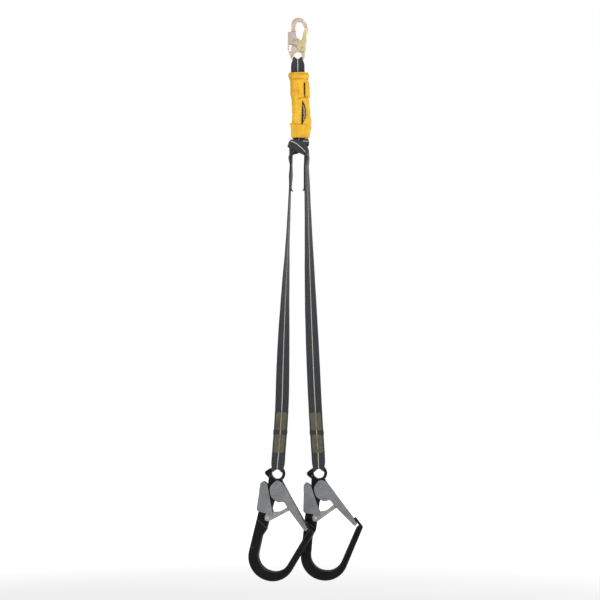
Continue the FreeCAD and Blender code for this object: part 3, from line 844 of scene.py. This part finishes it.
def lower_band(skin):
    """The wrap round the foot of the pack, slanted at its top, with a corner that stands out at the left."""

    def top_of(angle):
        return -0.3438 - 0.006 * math.cos(angle) + 0.0008 * round_noise(angle, 3, 2.2)

    def bottom_of(angle):
        return -0.3868 + 0.001 * round_noise(angle, 2, 8.4)

    def flare(angle, share):
        corner = 0.005 * bell(abs(angle) - math.pi, 0.5) * max(0.0, 1 - share * 3.0)
        pleat = 0.0006 * round_noise(angle, 6, share * 2.5)
        return corner + pleat + 0.0004 * math.sin(math.pi * share)

    grid = band_grid(skin, top_of, bottom_of, 0.0016, flare, steps=13)
    return strap("lower_wrap_cloth", grid, 0.0022, ring=True), ring_thread("wrap_thread", grid, (1, 11))


def flap(skin):
    """The cover's overlap to the right of the slot, hemmed along its foot."""
    grid = []
    for i in range(25):
        share = i / 24
        z = -0.2035 - 0.049 * share
        _, right, _ = between(COVER_OUTLINE, z)
        row = []
        for j in range(9):
            x = 0.0238 + (right - 0.0016 - 0.0238) * (j / 8)
            lift = 0.001 + 0.0018 * share * share + 0.0004 * noise.noise(Vector((x * 90, z * 60, 2)))
            row.append(skin.front(x, z, lift)[0])
        row.append(row[-1] + Vector((0.0022 + 0.001 * share, 0.0006, 0)))
        grid.append(row)
    return strap("upper_flap_cloth", grid, 0.0014)


def label_leaf(index):
    """A folded leaf behind the mouth, with a wavy free edge."""
    grid = []
    for i in range(33):
        share = i / 32
        z = -0.2745 - 0.065 * share
        bow = math.sin(math.pi * share) ** 0.8
        free = 0.004 + (0.0042 + 0.0027 * index) * bow + 0.0006 * math.sin(share * 24 + index * 1.7)
        row = []
        for j in range(7):
            across = j / 6
            curl = (0.0026 - 0.0006 * index) * across * across
            ripple = 0.0008 * math.sin(share * 21 + index * 0.4) * across
            row.append(Vector((0.0105 + free * across, -0.0127 + index * 0.0011 - curl * 0.5 + ripple, z)))
        grid.append(row)
    return strap(f"label_leaf_{index + 1}", grid, 0.0003, shares=True)


def tear_core():
    """The tear webbing, folded back and forth into a stack of plies."""
    plies, pitch, thick = 9, 0.0023, 0.0019
    top, bottom = -0.185, -0.37
    controls = []
    for ply in range(plies):
        y = (ply - (plies - 1) / 2) * pitch
        start, end, inset = (top, bottom, 0.0018) if ply % 2 == 0 else (bottom, top, -0.0018)
        for z in (start - inset, (start * 2 + end) / 3, (start + end * 2) / 3, end + inset):
            share = (-0.17 - z) / 0.216
            width = 0.044 - 0.005 * (abs(y) / 0.01) ** 2
            controls.append(row_points((0.002 + 0.0065 * share, y, z), (1, 0, 0), width))
    return strap("folded_tear_webbing", lofted(controls, 5), thick)


def upper_loop():
    """Webbing from the pack, through the snap hook's eye and back."""
    place = frame_place(SNAP_EYE, 0, 180)
    rows = eye_rows(place, SNAP_EYE_MAJOR, SNAP_EYE_MINOR, 0.046, 56, -0.0022, 0.0022, 0.07)
    return strap("upper_loop_strap", lofted(rows, 7), wave=0.0004)


def lower_loop():
    """The absorber's lower loop, which carries the choke: down its front ply, round and up its back one."""
    down = [(-0.0056, -0.373), (-0.0056, -0.39), (-0.0056, -0.407), (-0.0046, -0.415), (-0.002, -0.4195)]
    path = down + [(-y, z) for y, z in reversed(down)]
    controls = [row_points((0.0015, y, z), (1, 0, 0), 0.039) for y, z in path]
    return strap("lower_loop_strap", lofted(controls, 5))


def crossing(name, stations, last_rows=()):
    """A strap through stations and then through rows. A station is a centre, a direction across, a width,
    a crown, the crown's direction, and how much of the upper half shows."""
    controls = []
    for centre, across, width, crown, out, upper in stations:
        across = Vector(across).normalized()
        controls.append(row_points(centre, across, width, crown=crown, out=out, upper=upper))
    return strap(name, lofted(controls + list(last_rows), 6), wave=0.0005)


def choke_exit(side, line):
    """Rows that lay a choke strap on the outer face of a leg."""
    outward = -1 if side == "right" else 1
    levels = ((-0.45, 0.0034, 0.0), (-0.464, 0.0028, 0.0), (-0.48, 0.0004, 0.0015), (-0.49, -0.0012, 0.004))
    rows = [leg_row(side, line, z, outward * lift, WEB_WIDTH - narrower) for z, lift, narrower in levels]
    return rows if side == "right" else [row[::-1] for row in rows]


def choke():
    """The legs' webbing, choked round the lower loop: one strap crosses the front to the right leg, another
    crosses the back to the left leg, and a bight goes under the loop."""
    front = crossing("choke_front_strap", [
        ((-0.015, 0.0105, -0.399), (0.45, 0.0, 0.9), 0.04, 0.002, (0, 1, 0), 0.4),
        ((-0.027, 0.003, -0.3975), (0.36, -0.45, 0.8), 0.044, 0.003, (-1, 0, 0), 0.3),
        ((-0.0225, -0.01, -0.3985), (0.5, -0.2, 0.83), 0.048, 0.003, (-0.5, -1, 0), 0.3),
        ((-0.008, -0.014, -0.406), (0.62, 0.0, 0.78), 0.046, 0.003, (0, -1, 0), 0.6),
        ((0.006, -0.014, -0.418), (0.7, 0.1, 0.7), 0.042, 0.003, (0, -1, 0), 1.0),
        ((0.019, -0.011, -0.432), (0.8, 0.45, 0.4), 0.036, 0.003, (0.3, -1, 0), 1.0),
    ], choke_exit("right", leg_line("right")))
    back = crossing("choke_back_strap", [
        ((0.013, -0.0085, -0.399), (-0.3, 0.0, 0.95), 0.022, 0.001, (0, -1, 0), 1.0),
        ((0.0275, -0.006, -0.3985), (-0.15, 0.5, 0.85), 0.02, 0.002, (1, -0.4, 0), 1.0),
        ((0.0315, 0.003, -0.4), (-0.15, -0.4, 0.9), 0.024, 0.002, (1, 0, 0), 1.0),
        ((0.018, 0.012, -0.405), (-0.45, 0.0, 0.9), 0.034, 0.002, (0, 1, 0), 1.0),
        ((0.0000, 0.0145, -0.412), (-0.6, 0.0, 0.8), 0.038, 0.002, (0, 1, 0), 1.0),
        ((-0.013, 0.011, -0.424), (-0.6, -0.5, 0.6), 0.04, 0.002, (0, 1, 0), 1.0),
        ((-0.0225, 0.005, -0.437), (-0.3, -0.9, 0.25), 0.032, 0.003, (-0.5, 1, 0), 1.0),
    ], choke_exit("left", leg_line("left")))
    under_loop = ((-0.0215, -0.418, 0.020), (-0.010, -0.427, 0.026), (0.003, -0.429, 0.026),
                  (0.016, -0.425, 0.022), (0.027, -0.410, 0.018))
    bight = crossing("choke_bight", [
        ((x, 0.0, z), (0.0, 1.0, 0.0), width, 0.0, (0, 0, -1), 1.0) for x, z, width in under_loop
    ])
    return front, back, bight


def pack_pieces():
    """The pack's cloth, webbing and thread: each piece with its slot, and the CAD node it stands for."""
    cloth, skin = cover()
    collar_cloth, collar_thread = collar(skin)
    wrap_cloth, wrap_thread = lower_band(skin)
    flap_cloth = flap(skin)
    hems = join("cover_hem_thread", [
        collar_thread,
        wrap_thread,
        hem_thread("mouth_thread", skin, [widened(MOUTH_OUTLINE, 0.003)[:38]]),
        hem_thread("slot_thread", skin, [[(0.015, -0.203), (0.015, -0.252)]]),
        hem_thread("flap_thread", Skin(flap_cloth), [
            [(0.0262, -0.205), (0.0262, -0.25)], [(0.027, -0.2498), (0.0345, -0.2502)],
        ]),
    ])
    dress(hems, "yellow_cover", "cover_thread")
    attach(hems, "absorber")
    return [
        (cloth, "yellow_cover", "absorber_cover"),
        (cover_trims(skin), "yellow_cover", None),
        (collar_cloth, "yellow_cover", "upper_collar"),
        (wrap_cloth, "yellow_cover", "lower_wrap_band"),
        (flap_cloth, "yellow_cover", "cover_upper_flap"),
        (tear_core(), "tear_webbing", "tear_webbing_core"),
        (upper_loop(), "charcoal_webbing", "absorber_upper_loop"),
        (lower_loop(), "charcoal_webbing", "absorber_lower_loop"),
    ]


def absorber():
    pieces = pack_pieces()
    for obj, slot, node in pieces:
        dress(obj, slot)
        if node:
            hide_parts(node)
        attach(obj, "absorber")
    leaves = [label_leaf(i) for i in range(3)]
    for i, leaf in enumerate(leaves):
        dress(leaf, "label_leaf")
        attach(leaf, "absorber")
    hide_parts("warning_label_leaves")
    front, back, bight = choke()
    for obj in (front, back, bight):
        dress(obj, "charcoal_webbing")
    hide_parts("leg_choke_hitch")
    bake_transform(front)
    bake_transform(back)
    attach(bight, "absorber")


# Materials ----------------------------------------------------------------

class Finish:
    """The node tree of one material, built round its Principled shader."""

    def __init__(self, name, **sockets):
        self.material = bpy.data.materials.new(name)
        self.material.use_nodes = True
        self.tree = self.material.node_tree
        self.shader = self.tree.nodes["Principled BSDF"]
        for socket, value in sockets.items():
            self.shader.inputs[socket.replace("_", " ")].default_value = value

    def add(self, kind, inputs=None, **settings):
        node = self.tree.nodes.new(kind)
        for key, value in settings.items():
            setattr(node, key, value)
        for key, value in (inputs or {}).items():
            if isinstance(value, bpy.types.NodeSocket):
                self.tree.links.new(value, node.inputs[key])
            else:
                node.inputs[key].default_value = value
        return node

    def math(self, operation, a, b=0.0, clamp=False):
        return self.add("ShaderNodeMath", {0: a, 1: b}, operation=operation, use_clamp=clamp).outputs[0]

    def times(self, a, b, clamp=False):
        return self.math("MULTIPLY", a, b, clamp)

    def plus(self, a, b, clamp=False):
        return self.math("ADD", a, b, clamp)

    def total(self, a, share_a, b, share_b, clamp=False):
        return self.plus(self.times(a, share_a), self.times(b, share_b), clamp)

    def below(self, level, value, gain):
        """How far a value is under a level, times a gain, from 0 to 1."""
        return self.times(self.math("SUBTRACT", level, value), gain, True)

    def wave(self, value, period):
        return self.math("SINE", self.times(value, 2 * math.pi / period))

    def split(self, vector):
        return self.add("ShaderNodeSeparateXYZ", {0: vector}).outputs

    def weave_uv(self):
        return self.split(self.add("ShaderNodeUVMap", uv_map="weave").outputs[0])

    def openness(self, distance, samples=6):
        """1 in the open, less near other surfaces."""
        return self.add("ShaderNodeAmbientOcclusion", {"Distance": distance}, samples=samples).outputs["AO"]

    def place(self):
        return self.add("ShaderNodeTexCoord").outputs["Object"]

    def noise(self, scale, detail=3.0, roughness=0.5, vector=None):
        inputs = {"Scale": scale, "Detail": detail, "Roughness": roughness, "Vector": vector or self.place()}
        return self.add("ShaderNodeTexNoise", inputs).outputs["Fac"]

    def stretched(self, scale):
        return self.add("ShaderNodeMapping", {"Vector": self.place(), "Scale": scale}).outputs[0]

    def ramp(self, value, stops):
        node = self.add("ShaderNodeValToRGB", {"Fac": value})
        elements = node.color_ramp.elements
        while len(elements) < len(stops):
            elements.new(0.5)
        for element, (position, colour) in zip(elements, stops):
            element.position = position
            element.color = colour + (1.0,)
        return node.outputs["Color"]

    def mix(self, share, a, b):
        node = self.add("ShaderNodeMix", data_type="RGBA")
        for key, value in ((0, share), (6, a), (7, b)):
            if isinstance(value, bpy.types.NodeSocket):
                self.tree.links.new(value, node.inputs[key])
            else:
                node.inputs[key].default_value = value if key == 0 else value + (1.0,)
        return node.outputs[2]

    def scaled(self, value, low, high, start=0.0, end=1.0, **settings):
        """A value from start to end, brought to low to high and kept there."""
        inputs = {"Value": value, "From Min": start, "From Max": end, "To Min": low, "To Max": high}
        return self.add("ShaderNodeMapRange", inputs, **settings).outputs[0]

    def edges(self, radius, sharpness=8.0):
        """1 where the surface turns within radius, 0 on plain faces."""
        rounded = self.add("ShaderNodeBevel", {"Radius": radius}, samples=4).outputs[0]
        plain = self.add("ShaderNodeNewGeometry").outputs["Normal"]
        match = self.add("ShaderNodeVectorMath", {0: rounded, 1: plain}, operation="DOT_PRODUCT")
        return self.below(1.0, match.outputs["Value"], sharpness)

    def colour(self, socket):
        self.tree.links.new(socket, self.shader.inputs["Base Color"])

    def rough(self, socket):
        self.tree.links.new(socket, self.shader.inputs["Roughness"])

    def bump(self, height, distance, strength=1.0):
        node = self.add("ShaderNodeBump", {"Height": height, "Distance": distance, "Strength": strength})
        self.tree.links.new(node.outputs[0], self.shader.inputs["Normal"])


def webbing(name, dark, light, tracer=None, rib=0.0016):
    """Heavy twill webbing: slanted ribs that meet at the middle, warp threads along it, and a pale tracer."""
    f = Finish(name, Roughness=0.82, Sheen_Weight=0.25, Sheen_Roughness=0.45, Specular_IOR_Level=0.35)
    across, along, _ = f.weave_uv()
    away = f.math("ABSOLUTE", across)
    twill = f.wave(f.plus(along, f.times(away, 0.8)), rib)
    warp = f.wave(across, 0.0013)
    fuzz = f.times(f.math("SUBTRACT", f.noise(900.0, 2.0), 0.5), 0.5)
    weave = f.plus(f.plus(f.total(twill, 0.32, warp, 0.14), 0.5), fuzz)
    shade = f.total(weave, 0.7, f.noise(14.0, 4.0, 0.6), 0.35, clamp=True)
    cloth = f.ramp(shade, [(0.15, dark), (0.85, light)])
    border = f.scaled(away, 0.0, 1.0, 0.0195, 0.0215)
    cloth = f.mix(f.times(border, 0.35), cloth, dark)
    if tracer:
        line = f.scaled(away, 0.0, 1.0, TRACER_HALF * 1.25, TRACER_HALF * 0.85)
        pale = f.ramp(weave, [(0.1, tuple(c * 0.62 for c in tracer)), (0.8, tracer)])
        cloth = f.mix(line, cloth, pale)
    f.colour(cloth)
    f.rough(f.scaled(weave, 0.92, 0.7))
    f.bump(weave, 0.00045)
    return f.material


def yellow_cloth():
    """Coated plain-weave cloth, bright on its rises, with painted shade that turns it orange in its folds and
    crevices and dark brown in its deepest creases.
    """
    f = Finish("yellow_cover", Roughness=0.62, Sheen_Weight=0.2, Sheen_Roughness=0.4, Specular_IOR_Level=0.4)
    x, y, z = f.split(f.place())
    thread_pitch = 0.0011
    threads = f.times(f.wave(f.plus(x, f.times(y, 0.93)), thread_pitch), f.wave(z, thread_pitch))
    weave = f.plus(f.times(threads, 0.35), 0.5)
    streaks = f.noise(60.0, 3.0, 0.5, f.stretched((1.0, 1.0, 0.18)))
    shade = f.total(f.noise(26.0, 5.0, 0.6), 0.55, streaks, 0.45)
    golds = [(0.3, (0.6, 0.29, 0.006)), (0.5, (0.77, 0.43, 0.012)), (0.72, (0.84, 0.55, 0.034))]
    cloth = f.ramp(shade, golds)
    soiled = f.times(f.math("SUBTRACT", f.noise(9.0, 6.0, 0.7), 0.56), 2.2, clamp=True)
    cloth = f.mix(soiled, cloth, (0.62, 0.3, 0.025))
    # Painted shade: cloth close to other surfaces is painted darker orange.
    cloth = f.mix(f.below(0.86, f.openness(0.009), 1.6), cloth, (0.5, 0.17, 0.008))
    # Painted shade: creased-in cloth is painted orange, and dark brown in the deepest creases.
    creased = f.add("ShaderNodeAttribute", attribute_name="fold").outputs["Fac"]
    cloth = f.mix(f.times(creased, 0.7, clamp=True), cloth, (0.62, 0.24, 0.006))
    cloth = f.mix(f.times(f.scaled(creased, 0.0, 1.0, 0.75), 0.8), cloth, (0.2, 0.06, 0.004))
    f.colour(cloth)
    f.rough(f.scaled(weave, 0.72, 0.52))
    f.bump(f.plus(weave, f.times(f.noise(210.0, 3.0), 0.9)), 0.00032)
    return f.material


def thread(name, dark, light):
    """Twisted bonded thread."""
    f = Finish(name, Roughness=0.6, Sheen_Weight=0.2)
    strands = f.noise(1500.0, 2.0, 0.5, f.stretched((1.0, 1.0, 0.35)))
    f.colour(f.ramp(f.total(strands, 0.5, f.noise(38.0, 4.0, 0.6), 0.5), [(0.3, dark), (0.7, light)]))
    f.bump(strands, 0.0003)
    return f.material


def leaf_film():
    """Printed film with its print left out: a brown face and a pale free edge."""
    f = Finish("label_leaf", Roughness=0.5)
    streaks = f.noise(120.0, 4.0, 0.6, f.stretched((1.0, 1.0, 0.3)))
    face = f.ramp(streaks, [(0.3, (0.022, 0.01, 0.004)), (0.7, (0.095, 0.05, 0.02))])
    f.colour(f.mix(f.scaled(f.weave_uv()[0], 0.0, 1.0, 0.84, 0.93), face, (0.74, 0.62, 0.4)))
    f.bump(streaks, 0.0002)
    return f.material


def plated(name, low, middle, high, roughness, edge_and_underside_colour=(0.22, 0.11, 0.06), tint=None, underside_shade_strength=0.9):
    """Plated steel: patchy passivation and fine scratches. It has painted shade in its crevices and on faces
    that turn down and to the left, as if lit from the upper right. Its inner edges take the given edge
    colour, which is dark painted shade on most plates and pale on the pale sheet.
    """
    f = Finish(name, Metallic=0.6, Roughness=roughness, Specular_IOR_Level=0.5)
    drift = f.noise(35.0, 4.0, 0.55)
    colour = f.ramp(drift, [(0.32, low), (0.5, middle), (0.68, high)])
    if tint:
        clouds = f.noise(21.0, 2.0, 0.5, f.stretched((1.0, 1.0, 1.6)))
        colour = f.mix(f.times(clouds, 0.55), colour, tint)
    scratch = f.noise(420.0, 3.0, 0.7, f.stretched((1.0, 1.0, 0.08)))
    # Painted shade: edges close to other surfaces take the given edge and underside colour, broken up by
    # noise; on the pale sheet that colour is lighter and lightens them instead.
    inner_edge = f.times(f.edges(0.0026), f.below(0.97, f.openness(0.03), 6.0))
    edge_mark = f.times(inner_edge, f.scaled(f.noise(90.0, 4.0, 0.6), 0.5, 1.2), clamp=True)
    toned_colour = f.mix(edge_mark, colour, edge_and_underside_colour)
    # Painted shade: faces that turn down and to the left take the given edge and underside colour, as if lit
    # from the upper right.
    x, _, z = f.split(f.add("ShaderNodeTexCoord").outputs["Normal"])
    underside_shade = f.scaled(f.total(z, -1.0, x, -0.6), 0.0, underside_shade_strength, 0.35, 0.9)
    toned_colour = f.mix(underside_shade, toned_colour, edge_and_underside_colour)
    # Painted shade: crevices close to other surfaces are painted dark brown.
    crevice_shade = f.below(0.86, f.openness(0.009, 8), 3.4)
    f.colour(f.mix(crevice_shade, toned_colour, (0.16, 0.085, 0.05)))
    f.rough(f.plus(f.total(scratch, 0.16, drift, 0.14), roughness - 0.15))
    f.bump(f.total(scratch, 0.5, f.noise(700.0, 2.0, 0.5), 0.5), 0.0001)
    return f.material


def black_coating():
    """A satin black coat on forged alloy, dulled by handling and lighter along its edges, partly where the
    coat is worn thin and partly as a painted highlight.
    """
    f = Finish("black_coated_alloy", Specular_IOR_Level=0.12, Coat_Weight=0.03, Coat_Roughness=0.3)
    patches = f.noise(18.0, 5.0, 0.6)
    coat = f.ramp(patches, [(0.3, (0.0015, 0.0015, 0.0017)), (0.7, (0.005, 0.005, 0.0056))])
    # Partly wear and partly a painted highlight: the edges are painted lighter grey, broken up by noise.
    edge_wear_and_highlight = f.times(f.edges(0.0026, 6.0), f.scaled(f.noise(75.0, 5.0, 0.65), 0.3, 1.3), clamp=True)
    f.colour(f.mix(f.times(edge_wear_and_highlight, 0.8), coat, (0.22, 0.22, 0.23)))
    scuffs = f.noise(160.0, 4.0, 0.7, f.stretched((1.0, 1.0, 0.25)))
    f.rough(f.plus(f.total(scuffs, 0.3, patches, 0.15), 0.16))
    f.bump(f.total(f.noise(520.0, 2.0, 0.5), 0.6, scuffs, 0.4), 0.00012)
    return f.material


def grey_coating(name, low, high):
    """Grey coated sheet with brushed scuffs and lighter edges."""
    f = Finish(name, Metallic=0.55, Specular_IOR_Level=0.5)
    brushed = f.noise(300.0, 3.0, 0.7, f.stretched((0.25, 1.0, 1.0)))
    face = f.ramp(f.total(f.noise(24.0, 5.0, 0.6), 0.6, brushed, 0.4), [(0.3, low), (0.7, high)])
    # The edges are lighter grey, broken up by noise.
    edge_mark = f.times(f.edges(0.0014, 6.0), f.scaled(f.noise(80.0, 4.0, 0.6), 0.2, 1.1), clamp=True)
    f.colour(f.mix(f.times(edge_mark, 0.8), face, (0.6, 0.6, 0.62)))
    f.rough(f.plus(f.times(brushed, 0.25), 0.28))
    f.bump(brushed, 0.00012)
    return f.material


def bare_steel(name, low, high, roughness):
    """Turned steel of rivets and springs."""
    f = Finish(name, Metallic=0.95)
    turned = f.noise(900.0, 2.0, 0.5)
    f.colour(f.ramp(f.noise(150.0, 4.0, 0.6), [(0.3, low), (0.7, high)]))
    f.rough(f.plus(f.times(turned, 0.2), roughness - 0.1))
    f.bump(turned, 0.00008)
    return f.material


def paint(obj, material):
    obj.data.materials.clear()
    obj.data.materials.append(MATERIALS[material])


def dress(obj, slot, material=None):
    paint(obj, material or slot)


def make_materials():
    made = [
        webbing("charcoal_webbing", (0.0075, 0.0085, 0.011), (0.042, 0.045, 0.054), (0.62, 0.58, 0.46)),
        webbing("tear_webbing", (0.05, 0.027, 0.01), (0.19, 0.115, 0.05)),
        yellow_cloth(),
        thread("olive_thread", (0.075, 0.064, 0.03), (0.2, 0.172, 0.085)),
        thread("cover_thread", (0.55, 0.25, 0.01), (0.9, 0.5, 0.03)),
        leaf_film(),
        plated("zinc_plated_steel", (0.66, 0.47, 0.32), (0.76, 0.59, 0.46), (0.82, 0.69, 0.57), 0.3),
        plated("zinc_plated_sheet", (0.7, 0.6, 0.26), (0.78, 0.68, 0.4), (0.82, 0.72, 0.54), 0.32),
        plated("silver_sheet", (0.52, 0.62, 0.42), (0.7, 0.58, 0.48), (0.7, 0.64, 0.68), 0.3,
               tint=(0.66, 0.44, 0.46)),
        plated("pale_plated_sheet", (0.24, 0.23, 0.22), (0.31, 0.3, 0.28), (0.38, 0.37, 0.35), 0.4,
               edge_and_underside_colour=(0.55, 0.54, 0.52), underside_shade_strength=0.0),
        bare_steel("rivet_steel", (0.52, 0.48, 0.44), (0.74, 0.7, 0.66), 0.32),
        bare_steel("rivet_dark", (0.2, 0.2, 0.21), (0.38, 0.38, 0.4), 0.38),
        bare_steel("spring_steel", (0.3, 0.3, 0.31), (0.55, 0.55, 0.56), 0.3),
        black_coating(),
        grey_coating("grey_coated_sheet", (0.135, 0.138, 0.145), (0.27, 0.276, 0.288)),
    ]
    # The CAD's own materials have these names too, so Blender may add a number after a dot.
    return {material.name.split(".")[0]: material for material in made}


def dress_cad_nodes():
    """Every carried-over node gets its slot's finish."""
    for part in frame["record"]["subparts"]:
        paint(frame["nodes"][part["node"]], part["material_slot"])


# Studio -------------------------------------------------------------------

def camera():
    """Level with the middle of the lanyard, far enough to take in its whole length."""
    data = bpy.data.cameras.new("camera")
    data.sensor_width = 36.0
    data.lens = 100.0
    obj = link(bpy.data.objects.new("camera", data))
    view_width = 2.0
    obj.location = (0.005, -view_width * data.lens / data.sensor_width, -0.9267)
    obj.rotation_euler = (math.radians(90), 0, 0)
    bpy.context.scene.camera = obj


def area_light(name, place, size, power):
    """A soft light that looks at the lanyard's middle."""
    data = bpy.data.lights.new(name, "AREA")
    data.shape = "RECTANGLE"
    data.size, data.size_y = size
    data.energy = power
    obj = link(bpy.data.objects.new(name, data))
    obj.location = place
    obj.rotation_euler = (Vector((0, 0, -0.9)) - Vector(place)).to_track_quat("-Z", "Y").to_euler()


def floor():
    """A wide pale floor well below the lanyard, which glows: faintly near its middle, and fully white toward
    its rim.
    """
    bpy.ops.mesh.primitive_circle_add(vertices=96, radius=9.0, fill_type="NGON", location=(0, 0, -2.6))
    obj = bpy.context.object
    obj.name = "studio_floor"
    white = (1.0, 1.0, 1.0, 1.0)
    f = Finish("studio_floor", Roughness=0.9, Base_Color=(0.92, 0.92, 0.92, 1.0), Emission_Color=white)
    # Painted light: the floor glows, more the further from its middle.
    reach = f.add("ShaderNodeVectorMath", {0: f.place()}, operation="LENGTH").outputs["Value"]
    glow = f.scaled(reach, 0.22, 1.0, 2.5, 8.0, interpolation_type="SMOOTHSTEP")
    f.tree.links.new(glow, f.shader.inputs["Emission Strength"])
    obj.data.materials.append(f.material)


def backdrop():
    """A white world that lights the lanyard less than it shows."""
    world = bpy.data.worlds.new("studio")
    bpy.context.scene.world = world
    world.use_nodes = True
    tree = world.node_tree
    light = tree.nodes["Background"]
    seen = tree.nodes.new("ShaderNodeBackground")
    for background, strength in ((light, 0.42), (seen, 1.0)):
        background.inputs["Color"].default_value = (1.0, 1.0, 1.0, 1.0)
        background.inputs["Strength"].default_value = strength
    path = tree.nodes.new("ShaderNodeLightPath")
    mixed = tree.nodes.new("ShaderNodeMixShader")
    tree.links.new(path.outputs["Is Camera Ray"], mixed.inputs[0])
    tree.links.new(light.outputs[0], mixed.inputs[1])
    tree.links.new(seen.outputs[0], mixed.inputs[2])
    tree.links.new(mixed.outputs[0], tree.nodes["World Output"].inputs["Surface"])


def studio():
    camera()
    floor()
    backdrop()
    area_light("key", (2.0, -2.6, 1.2), (1.3, 2.2), 92)
    area_light("fill", (-2.6, -2.2, -0.4), (1.6, 2.4), 30)
    area_light("rim", (-1.4, 2.6, 0.4), (1.4, 2.2), 45)
    bpy.context.scene.view_settings.view_transform = "Standard"


MATERIALS = make_materials()
studio()
legs()
absorber()
dress_cad_nodes()
